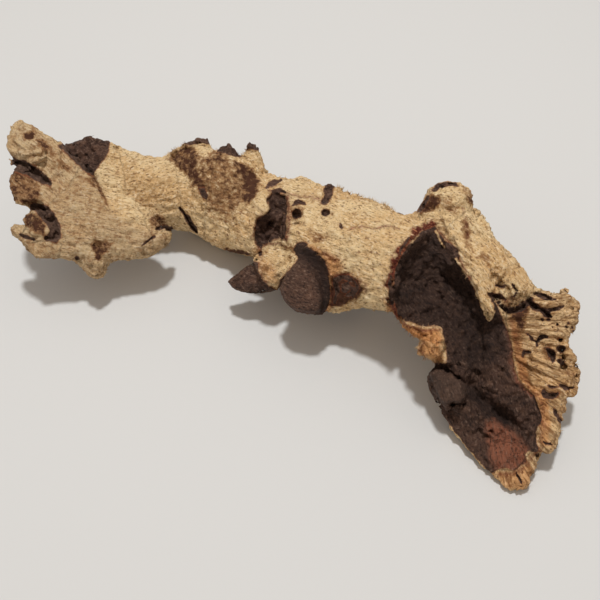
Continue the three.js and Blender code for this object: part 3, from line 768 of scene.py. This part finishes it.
class Block:
    """A block of small cubes round the wood. Each corner holds its distance from the surface in mm,
    below zero inside the wood."""

    REACH = 3.5
    BAND = 4

    def __init__(self, solid, pitch):
        corners = np.array([v.co[:] for v in solid.vertices]) / MM
        solid.calc_loop_triangles()
        faces = np.array([t.vertices[:] for t in solid.loop_triangles])
        self.pitch = pitch
        self.low = corners.min(0) - 4 * pitch + np.array([0.0137, 0.0171, 0.0193])
        self.shape = tuple(int(n) for n in np.ceil((corners.max(0) - self.low) / pitch) + 5)
        inside = self.filled(corners, faces)
        self.values = np.where(inside, -self.REACH, self.REACH).astype(np.float32)
        near = self.near_surface(self.BAND)
        tree = BVHTree.FromPolygons(corners.tolist(), faces.tolist())
        away = np.array([tree.find_nearest(p)[3] for p in self.places(near).tolist()], np.float32)
        self.values[near] = np.where(inside[near], -1, 1) * np.minimum(away, self.REACH)

    def places(self, where):
        """The places in mm of the corners that a mask names."""
        return self.low + np.argwhere(where) * self.pitch

    def filled(self, corners, faces):
        """Which corners lie inside the solid, by counting the faces passed on the way up."""
        steps = np.zeros(self.shape, np.int16)
        grid = (corners - self.low) / self.pitch
        for a, b, c in grid[faces]:
            area = (b[0] - a[0]) * (c[1] - a[1]) - (b[1] - a[1]) * (c[0] - a[0])
            if area == 0:
                continue
            low = np.ceil(np.minimum(np.minimum(a, b), c)).astype(int)
            high = np.floor(np.maximum(np.maximum(a, b), c)).astype(int)
            i, j = np.mgrid[low[0] : high[0] + 1, low[1] : high[1] + 1]
            if not i.size:
                continue
            wb = ((i - a[0]) * (c[1] - a[1]) - (j - a[1]) * (c[0] - a[0])) / area
            wc = ((b[0] - a[0]) * (j - a[1]) - (b[1] - a[1]) * (i - a[0])) / area
            hit = (wb >= 0) & (wc >= 0) & (wb + wc <= 1)
            k = np.ceil(a[2] + wb * (b[2] - a[2]) + wc * (c[2] - a[2])).astype(int)
            np.add.at(steps, (i[hit], j[hit], k[hit]), -1 if area > 0 else 1)
        return np.cumsum(steps, axis=2) > 0

    def near_surface(self, reach):
        """Which corners lie within a reach of the surface, counted in cubes."""
        inside = self.values < 0
        near = np.zeros_like(inside)
        for axis in range(3):
            change = np.diff(inside, axis=axis)
            first = [slice(None)] * 3
            second = [slice(None)] * 3
            first[axis], second[axis] = slice(None, -1), slice(1, None)
            near[tuple(first)] |= change
            near[tuple(second)] |= change
        for _ in range(reach - 1):
            for axis in range(3):
                near = near | np.roll(near, 1, axis) | np.roll(near, -1, axis)
        return near

    @staticmethod
    def blurred(values, passes):
        """Evens the values out over their neighbours."""
        for _ in range(passes):
            for axis in range(3):
                values = (np.roll(values, 1, axis) + np.roll(values, -1, axis) + 2 * values) / 4
        return values

    def soften(self, passes, fillet_passes, fillet_gap):
        """Takes the facets off, and fills the creases where one limb meets another."""
        even = self.blurred(self.values, passes)
        self.values = np.minimum(even, self.blurred(even, fillet_passes) + fillet_gap)

    def lift(self, height, missing, front, deep, where):
        """Moves the seen surface towards the eye by a height in mm, or away where it is below zero, and adds
        a slab where wood is missing."""
        top = front - height
        thick = np.where(missing > 0.5, FILL, 2.0)
        more = (height > 0.05) | ((missing > 0.5) & (height > -CUT / 2))
        gain = np.where(more, np.maximum(top - deep, deep - front - thick) * 0.8, self.REACH)
        loss = np.where((height < -0.05) & (deep > front - 6), (top - deep) * 0.8, -self.REACH)
        values = self.values[where]
        values = np.maximum(np.minimum(values, gain), np.clip(loss, -self.REACH, self.REACH))
        self.values[where] = values

    def bead(self, start, end, radii, blend=1.0):
        """Adds a rounded bar between two places, melted into the wood over a short blend in mm."""
        margin = max(radii) + blend + self.pitch
        low = np.floor((np.minimum(start, end) - margin - self.low) / self.pitch).astype(int)
        high = np.ceil((np.maximum(start, end) + margin - self.low) / self.pitch).astype(int) + 1
        box = tuple(slice(*np.clip(pair, 0, n)) for *pair, n in zip(low, high, self.shape))
        index = np.stack(np.mgrid[box], -1)
        q = self.low + index * self.pitch - start
        way = end - start
        t = np.clip((q @ way) / (way @ way + 1e-9), 0, 1)
        away = np.linalg.norm(q - t[..., None] * way, axis=-1) - (radii[0] + t * (radii[1] - radii[0]))
        old = self.values[box]
        melt = np.maximum(blend - np.abs(old - away), 0)
        self.values[box] = np.minimum(old, away) - melt * melt / (4 * blend)

    def surface(self):
        """The surface as corners in mm and four-sided faces that point out."""
        f = self.values
        for axis in range(3):
            np.moveaxis(f, axis, 0)[[0, 1, -2, -1]] = self.REACH
        inside = f < 0
        count = sum(inside[i : f.shape[0] - 1 + i, j : f.shape[1] - 1 + j, k : f.shape[2] - 1 + k].astype(np.int8)
                    for i, j, k in np.ndindex(2, 2, 2))
        cells = np.argwhere((count > 0) & (count < 8))
        number = np.full(count.shape, -1, np.int32)
        number[tuple(cells.T)] = np.arange(len(cells))
        total = np.zeros((len(cells), 3))
        hits = np.zeros(len(cells))
        for axis in range(3):
            others = [a for a in range(3) if a != axis]
            for first, second in np.ndindex(2, 2):
                start = cells.copy()
                start[:, others[0]] += first
                start[:, others[1]] += second
                end = start.copy()
                end[:, axis] += 1
                f0, f1 = f[tuple(start.T)], f[tuple(end.T)]
                cross = (f0 < 0) != (f1 < 0)
                t = np.where(cross, f0 / np.where(cross, f0 - f1, 1), 0)
                place = start.astype(float)
                place[:, axis] += t
                total[cross] += place[cross]
                hits[cross] += 1
        corners = self.low + total / hits[:, None] * self.pitch
        faces = []
        for axis in range(3):
            b, c = (axis + 1) % 3, (axis + 2) % 3
            change = np.argwhere(np.diff(inside, axis=axis))
            change = change[(change[:, b] > 0) & (change[:, c] > 0)]
            step_b, step_c = np.eye(3, dtype=int)[b], np.eye(3, dtype=int)[c]
            ring = (change, change - step_b, change - step_b - step_c, change - step_c)
            quad = np.stack([number[tuple(r.T)] for r in ring], 1)
            leaving = inside[tuple(change.T)]
            faces.append(np.where(leaving[:, None], quad, quad[:, ::-1]))
        return corners, np.concatenate(faces)


def largest_body(corners, faces):
    """Drops loose crumbs: keeps the faces and corners that hang together with most of the wood."""
    label = np.arange(len(corners))
    while True:
        least = label[faces].min(1)
        new = label.copy()
        for side in range(4):
            np.minimum.at(new, faces[:, side], least)
        new = new[new]
        if (new == label).all():
            break
        label = new
    keep = label == np.bincount(label).argmax()
    renumber = np.cumsum(keep) - 1
    return corners[keep], renumber[faces[keep[faces[:, 0]]]]


def corner_normals(corners, faces):
    """The way that the surface faces at each corner."""
    ring = [corners[faces[:, i]] for i in range(faces.shape[1])]
    across = np.cross(ring[2] - ring[0], ring[-1] - ring[1])
    normals = np.zeros_like(corners)
    for side in range(faces.shape[1]):
        np.add.at(normals, faces[:, side], across)
    return normals / np.maximum(np.linalg.norm(normals, axis=1), 1e-9)[:, None]


def seen_depth(corners, faces):
    """How deep the nearest wood lies behind each pixel of the picture, in mm, where there is none, and how
    thick it is. The depths at the edge are carried on a little way past it."""
    tree = BVHTree.FromPolygons(corners.tolist(), faces.tolist())
    depth = np.full((MAP_ROWS, PICTURE), NOTHING, np.float32)
    wall = np.full((MAP_ROWS, PICTURE), FILL, np.float32)
    start = Vector(EYE)
    seen_u, seen_v, _ = sight(corners)
    columns = range(max(0, int(seen_u.min()) - 1), min(PICTURE, int(seen_u.max()) + 2))
    for row in range(int(seen_v.min()) - 1 - MAP_TOP, int(seen_v.max()) + 2 - MAP_TOP):
        for column in columns:
            ray = sight_line(column + 0.5, row + MAP_TOP + 0.5)
            hit = tree.ray_cast(start, Vector(ray))[0]
            if hit:
                depth[row, column] = (np.array(hit) - EYE) @ FORWARD
                beyond = tree.ray_cast(hit + Vector(ray) * 0.5, Vector(ray))[0]
                if beyond:
                    wall[row, column] = (beyond - hit).length
    missing = depth == NOTHING
    for _ in range(5):
        for shift in ((1, 0), (-1, 0), (0, 1), (0, -1)):
            moved = np.roll(depth, shift, (0, 1))
            depth = np.where((depth == NOTHING) & (moved < NOTHING), moved, depth)
    rows, columns = ((np.arange(n * MAP_FINE) + 0.5) / MAP_FINE - 0.5 for n in (MAP_ROWS, PICTURE))
    even, ring = between(depth, columns[None, :], rows[:, None])
    nearest, bare, wall = (np.repeat(np.repeat(m, MAP_FINE, 0), MAP_FINE, 1) for m in (depth, missing, wall))
    # Where the depth jumps, the nearest pixel's own is kept
    jump = np.max(ring, 0) - np.min(ring, 0) > 3
    return np.where(jump, nearest, even).astype(np.float32), bare.astype(np.float32), wall


def grain_places(points, raw):
    """Places along and across the grain in mm, for patterns that run with it."""
    line = np.array(GRAIN_LINE, float)
    start, step = line[:-1], np.diff(line, axis=0)
    length = np.linalg.norm(step, axis=1)
    travelled = np.concatenate([[0], np.cumsum(length)[:-1]])
    best = np.full(len(points), 1e12)
    along = np.zeros(len(points))
    across = np.zeros((len(points), 2))
    for a, d, size, before in zip(start, step, length, travelled):
        unit = d / size
        side = np.cross(unit, (0, 0, 1))
        side /= np.linalg.norm(side)
        over = np.cross(side, unit)
        q = points - a
        t = np.clip(q @ unit, 0, size)
        away = q - t[:, None] * unit
        far = (away**2).sum(1)
        nearer = far < best
        best = np.where(nearer, far, best)
        along = np.where(nearer, before + (q @ unit), along)
        across = np.where(nearer[:, None], np.stack([q @ side, q @ over], 1), across)
    u, v, deep = sight(points)
    du, dv = u - FAN_POLE[0], v - FAN_POLE[1]
    scale = deep / FOCAL
    fan = np.column_stack([np.hypot(du, dv) * scale, np.arctan2(dv, du) * FAN_REACH * scale, deep])
    return np.where((raw > 0.5)[:, None], fan, np.column_stack([along, across]))


def linear(text):
    """An sRGB hex colour as linear RGBA."""
    values = [int(text[i : i + 2], 16) / 255 for i in (1, 3, 5)]
    return (*(v / 12.92 if v <= 0.04045 else ((v + 0.055) / 1.055) ** 2.4 for v in values), 1.0)


def carve(settings):
    """The wood's surface, carved out of the plain solid, with what was seen of it before."""
    block = Block(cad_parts[NODE].data, settings.pitch / MM)
    block.soften(passes=2, fillet_passes=6, fillet_gap=0.35)
    chart = Chart()
    front, missing, wall = seen_depth(*block.surface())
    for row in BEADS:
        u, v, out, radii = np.array(row, float).T
        deep = chart.read(front, u, v)
        deep = np.minimum(deep, deep.min() + BEAD_DROP) - out
        places = EYE + sight_line(u[:, None], v[:, None]) * deep[:, None]
        for start, end, first, second in zip(places[:-1], places[1:], radii[:-1], radii[1:]):
            block.bead(start, end, (first, second))
    near = block.near_surface(7) | (block.values < 0)
    places = block.places(near)
    u, v, deep = sight(places)
    relief = draw_relief(chart, front)
    relief = np.where(relief > -THROUGH, np.maximum(relief, WALL - wall), relief)
    block.lift(chart.read(relief, u, v), chart.read(missing, u, v), chart.read(front, u, v), deep, near)
    near = block.near_surface(3)
    places = block.places(near)
    u, v, deep = sight(places)
    dark = chart.read(most_of(chart, [chart.patch(outline, 3.0) for outline in DARK_FORMS]), u, v)
    uneven = rough(places, 6.5, 2.2) * (0.6 + 1.1 * dark) + rough(places, 3.0, 8.8) * (0.6 + 1.0 * dark)
    calm = chart.read(most_of(chart, [scaled(chart.patch(outline, 2.0), share) for outline, share in CALM]), u, v)
    old = block.values[near]
    new = old + uneven * (1 - calm) * settings.relief
    # Thin walls keep their middle
    block.values[near] = np.where(old < -1.3, np.minimum(new, -0.3), new)
    corners, faces = largest_body(*block.surface())
    return chart, front, corners, faces


def thinned(corners, faces, most):
    """Takes faces out of the side that the picture doesn't show, until at most so many triangles are left."""
    mesh = bpy.data.meshes.new("full")
    mesh.from_pydata(corners.tolist(), [], faces.tolist())
    full = bpy.data.objects.new("full", mesh)
    bpy.context.scene.collection.objects.link(full)
    hidden = corner_normals(corners, faces) @ -FORWARD < 0.05
    group = full.vertex_groups.new(name="hidden")
    group.add(np.flatnonzero(hidden).tolist(), 1.0, "REPLACE")
    group.add(np.flatnonzero(~hidden).tolist(), 0.02, "REPLACE")
    thin = full.modifiers.new("thin", "DECIMATE")
    thin.ratio = most / (2 * len(faces))
    thin.vertex_group = group.name
    result = full.evaluated_get(bpy.context.evaluated_depsgraph_get()).to_mesh()
    result.calc_loop_triangles()
    corners = np.array([v.co[:] for v in result.vertices])
    faces = np.array([t.vertices[:] for t in result.loop_triangles])
    bpy.data.objects.remove(full)
    bpy.data.meshes.remove(mesh)
    return corners, faces


def dress(settings):
    """The whole piece: carved, grained and frayed, with its stains and painted shade as values at the corners."""
    chart, front, corners, faces = carve(settings)
    most = settings.triangles - 4 * settings.fibres
    if 2 * len(faces) > most:
        corners, faces = thinned(corners, faces, most)
    u, v, deep = sight(corners)
    below = deep - chart.read(front, u, v)
    shown = smooth((STAIN_AND_SHADE_REACH - below) / STAIN_AND_SHADE_FADE)
    masks = {name: chart.read(values, u, v) * shown for name, values in draw_finish(chart).items()}
    # Laid bare heartwood and stains on the sides that weren't seen
    bare = smooth((rough(corners, 36.0, 17.0) - 0.3) / 0.14) * (1 - shown)
    masks["heart"] = np.maximum(masks["heart"], bare)
    stained = smooth((rough(corners, 24.0, 31.0) - 0.1) / 0.5) * 0.9 * (1 - shown)
    masks["brown"] = np.maximum(masks["brown"], stained)
    grain = grain_places(corners, masks["raw"])
    normals = corner_normals(corners, faces)
    heart, raw = np.clip(masks["heart"], 0, 1), masks["raw"]
    fibre = rough(grain, (9.0, 2.4, 2.4), 2.0) * 0.6 + rough(grain, (4.5, 1.7, 1.7), 5.0) * 0.6
    ridges = rough(grain, (30.0, 2.6, 4.0), 7.0) * 1.3 + rough(grain, (14.0, 1.7, 3.0), 3.0) * 0.9
    grit = rough(corners, 1.8, 14.0) * 0.7
    lumps = rough(corners, 3.0, 1.0) * 0.9 + rough(corners, 1.7, 4.0) * 1.0
    height = (fibre + grit) * (1 - heart) * (1 - raw) + lumps * heart + (ridges + 0.5 * grit) * raw * (1 - heart)
    height *= 1 - masks.pop("calm")
    corners = corners + normals * (height * settings.relief)[:, None]
    fray = most_of(chart, [chart.stroke(line, half_width) for line, half_width, _ in CRUMBLING])
    fray = (chart.read(fray, u, v) * shown + 0.02) * (1 - heart) * (1 - 0.8 * raw)
    corners, spikes, masks, grain = frayed(corners, normals, fray, settings.fibres, masks, grain)
    if faces.shape[1] == 4:
        faces = np.concatenate([faces[:, [0, 1, 2]], faces[:, [0, 2, 3]]])
    faces = np.concatenate([faces, spikes])
    low, high = (np.array(corner) / MM for corner in CAD_BOX)
    corners = np.clip(corners, low, high)
    return corners, faces, masks, grain


def frayed(corners, normals, fray, count, masks, grain):
    """Short torn fibres: thin three-sided spikes that stand in the wood where it is frayed."""
    random = np.random.default_rng(7)
    chosen = random.choice(len(corners), count, p=fray / fray.sum())
    way = normals[chosen] + random.normal(0, 0.7, (count, 3))
    way /= np.linalg.norm(way, axis=1)[:, None]
    side = np.cross(way, (0.3, 0.5, 0.8))
    side /= np.linalg.norm(side, axis=1)[:, None]
    over = np.cross(way, side)
    length, half = random.uniform(1.2, 3.6, (count, 1)), random.uniform(0.16, 0.3, (count, 1))
    foot = corners[chosen] - way * 0.5
    turns = [side * np.cos(a) + over * np.sin(a) for a in (0, 2 * np.pi / 3, 4 * np.pi / 3)]
    spikes = np.stack([*(foot + turn * half for turn in turns), foot + way * length], 1).reshape(-1, 3)
    first = len(corners) + 4 * np.arange(count)[:, None]
    sides = np.concatenate([first + np.array(face) for face in ((0, 1, 3), (1, 2, 3), (2, 0, 3), (0, 2, 1))])
    masks = {name: np.concatenate([values, np.repeat(values[chosen], 4)]) for name, values in masks.items()}
    grain = np.concatenate([grain, np.repeat(grain[chosen], 4, 0)])
    return np.concatenate([corners, spikes]), sides, masks, grain


def make_mesh(name, corners, faces, masks, grain):
    """A mesh in metres, with the stains, the painted shade and the grain as attributes."""
    mesh = bpy.data.meshes.new(name)
    sides = faces.shape[1]
    mesh.vertices.add(len(corners))
    mesh.vertices.foreach_set("co", (corners * MM).astype(np.float32).ravel())
    mesh.loops.add(faces.size)
    mesh.loops.foreach_set("vertex_index", faces.astype(np.int32).ravel())
    mesh.polygons.add(len(faces))
    mesh.polygons.foreach_set("loop_start", np.arange(0, faces.size, sides, dtype=np.int32))
    mesh.update(calc_edges=True)
    mesh.polygons.foreach_set("use_smooth", np.ones(len(faces), bool))
    for key, values in masks.items():
        layer = mesh.attributes.new(key, "FLOAT", "POINT")
        layer.data.foreach_set("value", values.astype(np.float32))
    layer = mesh.attributes.new("grain", "FLOAT_VECTOR", "POINT")
    layer.data.foreach_set("vector", grain.astype(np.float32).ravel())
    mesh.validate()
    return mesh


def add(tree, kind, inputs=None, **settings):
    """Adds a node with its settings. An input is a value or another node's output."""
    node = tree.nodes.new(kind)
    for name, value in settings.items():
        setattr(node, name, value)
    for socket, value in (inputs or {}).items():
        if isinstance(value, bpy.types.NodeSocket):
            tree.links.new(value, node.inputs[socket])
        else:
            node.inputs[socket].default_value = value
    return node


def driftwood_material(settings):
    """Mopani wood, weathered and sandblasted: pale open-pored sapwood over nearly black heartwood. It is matt and
    rough all over, and the denser heartwood has a faint gleam."""
    material = bpy.data.materials.new("Sandblasted mopani wood")
    material.use_nodes = True
    tree = material.node_tree
    tree.nodes.clear()
    field = {name: add(tree, "ShaderNodeAttribute", attribute_name=name).outputs["Fac"] for name in STAIN_AND_SHADE_NAMES}
    place = add(tree, "ShaderNodeTexCoord").outputs["Object"]
    ways = {
        "grain": add(tree, "ShaderNodeAttribute", attribute_name="grain").outputs["Vector"],
        "place": add(tree, "ShaderNodeVectorMath", {0: place, "Scale": 1 / MM}, operation="SCALE").outputs[0],
    }
    for name, (way, spacing, detail, roughness) in PATTERNS.items():
        spread = {0: ways[way], 1: [1 / step for step in spacing]}
        vector = add(tree, "ShaderNodeVectorMath", spread, operation="MULTIPLY").outputs[0]
        inputs = {"Vector": vector, "Scale": 1.0, "Detail": detail, "Roughness": roughness}
        field[name] = add(tree, "ShaderNodeTexNoise", inputs).outputs["Fac"]
    # Torn fibres and grit stand up pale, and the low spots between them are darkened with painted shade
    both = {0: 0.4, 2: field["fibres"], 3: field["grit"]}
    field["fine"] = add(tree, "ShaderNodeMix", both, data_type="FLOAT").outputs[0]
    # The heartwood's edge and the brown stains, with the painted shade among them, break up into blotches
    edge = {0: field["blotch"], 1: 0.8, 2: field["heart"]}
    field["ragged"] = add(tree, "ShaderNodeMath", edge, operation="MULTIPLY_ADD").outputs[0]
    field["patchy"] = field["brown"]
    for name, low, high, most in (("blotch", 0.3, 0.7, 0.5), ("fine", 0.45, 0.62, -0.2)):
        inputs = {"Value": field[name], "From Min": low, "From Max": high, "To Max": most}
        more = add(tree, "ShaderNodeMapRange", inputs, interpolation_type="SMOOTHSTEP").outputs[0]
        field["patchy"] = add(tree, "ShaderNodeMath", {0: field["patchy"], 1: more}, operation="ADD").outputs[0]

    wood = {}
    for name, coats in COATS.items():
        colour = (*getattr(settings, name), 1.0)
        for pattern, low, high, share, stain, paint, *blend in coats:
            if pattern:
                inputs = {"Value": field[pattern], "From Min": low, "From Max": high, "To Max": share}
                share = add(tree, "ShaderNodeMapRange", inputs, interpolation_type="SMOOTHSTEP").outputs[0]
            if stain:
                share = add(tree, "ShaderNodeMath", {0: field[stain], 1: share}, operation="MULTIPLY").outputs[0]
            inputs = {0: share, 6: colour, 7: wood[paint] if paint in wood else linear(paint)}
            kind = blend[0] if blend else "MIX"
            colour = add(tree, "ShaderNodeMix", inputs, data_type="RGBA", blend_type=kind).outputs[2]
        wood[name] = colour

    furrows = add(tree, "ShaderNodeMath", {0: field["lines"], 1: 0.7}, operation="MULTIPLY").outputs[0]
    inputs = {0: field["raw"], 1: furrows, 2: field["fine"]}
    height = add(tree, "ShaderNodeMath", inputs, operation="MULTIPLY_ADD").outputs[0]
    bump = add(tree, "ShaderNodeBump", {"Height": height, "Strength": 1.0, "Distance": settings.grit}).outputs[0]
    inputs = {"Value": field["ragged"], "From Min": 0.82, "From Max": 0.96, "To Min": 0.95, "To Max": 0.7}
    matt = add(tree, "ShaderNodeMapRange", inputs, interpolation_type="SMOOTHSTEP").outputs[0]
    inputs = {"Base Color": wood["sapwood"], "Roughness": matt, "Normal": bump, "Specular IOR Level": 0.3}
    shader = add(tree, "ShaderNodeBsdfPrincipled", inputs)
    add(tree, "ShaderNodeOutputMaterial", {"Surface": shader.outputs[0]})
    return material


def floor_material(colour):
    """Board painted matt off-white. It is even and has no gleam, so that only the wood's shadow marks it."""
    material = bpy.data.materials.new("Painted board")
    material.use_nodes = True
    tree = material.node_tree
    tree.nodes.clear()
    inputs = {"Base Color": (*colour, 1.0), "Roughness": 0.8, "Specular IOR Level": 0.2}
    shader = add(tree, "ShaderNodeBsdfPrincipled", inputs)
    add(tree, "ShaderNodeOutputMaterial", {"Surface": shader.outputs[0]})
    return material


class WoodSettings(bpy.types.PropertyGroup):
    """How finely the wood is carved."""

    pitch: FloatProperty(
        name="Carving pitch",
        description="Size of the cubes that the wood is carved in",
        default=0.0009,
        min=0.0006,
        precision=5,
        unit="LENGTH",
    )
    relief: FloatProperty(
        name="Relief", description="Share of the full height of fibres and lumps", default=1.0, min=0, subtype="FACTOR"
    )
    grit: FloatProperty(
        name="Grit", description="Height of the finest relief", default=0.0024, min=0, precision=5, unit="LENGTH"
    )
    triangles: IntProperty(
        name="Triangles", description="Most triangles that the wood may have", default=196000, subtype="UNSIGNED"
    )
    fibres: IntProperty(
        name="Torn fibres", description="Number of short fibres on frayed wood", default=2400, subtype="UNSIGNED"
    )
    sapwood: FloatVectorProperty(
        name="Sapwood", description="Palest colour of the sapwood", default=linear("#F1D4A2")[:3], size=3,
        subtype="COLOR",
    )
    heartwood: FloatVectorProperty(
        name="Heartwood", description="Ground colour of the heartwood", default=linear("#432E24")[:3], size=3,
        subtype="COLOR",
    )
    rusty: FloatVectorProperty(
        name="Rust", description="Darkest colour of the fringes round the heartwood", default=linear("#62291F")[:3],
        size=3, subtype="COLOR",
    )


class StageSettings(bpy.types.PropertyGroup):
    """The floor and the light."""

    floor: FloatVectorProperty(
        name="Floor", description="Colour of the floor", default=linear("#DADBDA")[:3], size=3, subtype="COLOR"
    )
    lamp: FloatProperty(name="Lamp", description="Power of the lamp overhead", default=19.0, unit="POWER")
    lamp_size: FloatProperty(name="Lamp size", description="Width of the lamp", default=0.16, unit="LENGTH")
    room: FloatProperty(name="Room", description="Strength of the light all round", default=0.45, subtype="FACTOR")


class DRIFTWOOD_OT_wood(bpy.types.Operator):
    """Carve and finish the wood round its solid"""

    bl_idname = "driftwood.wood"
    bl_label = "Wood"

    def execute(self, context):
        settings = context.scene.driftwood_wood
        mesh = make_mesh("wood", *dress(settings))
        mesh.materials.append(driftwood_material(settings))
        wood = bpy.data.objects.new("wood", mesh)
        context.scene.collection.objects.link(wood)
        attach(wood, "root")
        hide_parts(NODE)
        return {"FINISHED"}


# In metres: half the floor's width with its corners, and the place of the lamp
FLOOR_HALF = 3.0
SQUARE = ((-1, -1), (1, -1), (1, 1), (-1, 1))
LAMP_PLACE = (0.0, 0.15, 1.8)


class DRIFTWOOD_OT_stage(bpy.types.Operator):
    """Lay the floor and set the lights and the camera"""

    bl_idname = "driftwood.stage"
    bl_label = "Stage"

    def execute(self, context):
        scene = context.scene
        settings = scene.driftwood_stage
        mesh = bpy.data.meshes.new("floor")
        mesh.from_pydata([(x * FLOOR_HALF, y * FLOOR_HALF, 0) for x, y in SQUARE], [], [(0, 1, 2, 3)])
        mesh.materials.append(floor_material(settings.floor))
        floor = bpy.data.objects.new("floor", mesh)
        scene.collection.objects.link(floor)

        world = bpy.data.worlds.new("Soft room")
        world.use_nodes = True
        background = world.node_tree.nodes["Background"]
        background.inputs["Color"].default_value = linear("#FFF3E8")
        background.inputs["Strength"].default_value = settings.room
        scene.world = world

        lamp = bpy.data.lights.new("overhead", "AREA")
        lamp.shape = "DISK"
        lamp.size = settings.lamp_size
        lamp.energy = settings.lamp
        overhead = bpy.data.objects.new("overhead", lamp)
        overhead.location = LAMP_PLACE
        overhead.rotation_euler = (-overhead.location).to_track_quat("-Z", "Y").to_euler()
        scene.collection.objects.link(overhead)

        view = bpy.data.cameras.new("camera")
        view.sensor_width = 36.0
        view.lens = FOCAL / PICTURE * view.sensor_width
        view.clip_start = 0.01
        camera = bpy.data.objects.new("camera", view)
        camera.location = EYE * MM
        camera.rotation_euler = Vector(FORWARD).to_track_quat("-Z", "Y").to_euler()
        scene.collection.objects.link(camera)
        scene.camera = camera
        scene.view_settings.view_transform = "Standard"
        return {"FINISHED"}


class DRIFTWOOD_PT_panel(bpy.types.Panel):
    """Lists the steps of the driftwood"""

    bl_label = "Driftwood"
    bl_space_type = "VIEW_3D"
    bl_region_type = "UI"
    bl_category = "Driftwood"

    def draw(self, context):
        wood, stage = context.scene.driftwood_wood, context.scene.driftwood_stage
        for name in ("pitch", "relief", "grit", "triangles", "fibres", "sapwood", "heartwood", "rusty"):
            self.layout.prop(wood, name)
        for name in ("floor", "lamp", "lamp_size", "room"):
            self.layout.prop(stage, name)
        self.layout.operator("driftwood.wood")
        self.layout.operator("driftwood.stage")


CLASSES = (WoodSettings, StageSettings, DRIFTWOOD_OT_wood, DRIFTWOOD_OT_stage, DRIFTWOOD_PT_panel)


def register():
    for cls in CLASSES:
        bpy.utils.register_class(cls)
    bpy.types.Scene.driftwood_wood = PointerProperty(type=WoodSettings)
    bpy.types.Scene.driftwood_stage = PointerProperty(type=StageSettings)


def unregister():
    del bpy.types.Scene.driftwood_wood
    del bpy.types.Scene.driftwood_stage
    for cls in reversed(CLASSES):
        bpy.utils.unregister_class(cls)


def main():
    register()
    bpy.ops.driftwood.stage()
    bpy.ops.driftwood.wood()


if __name__ == "__main__":
    main()
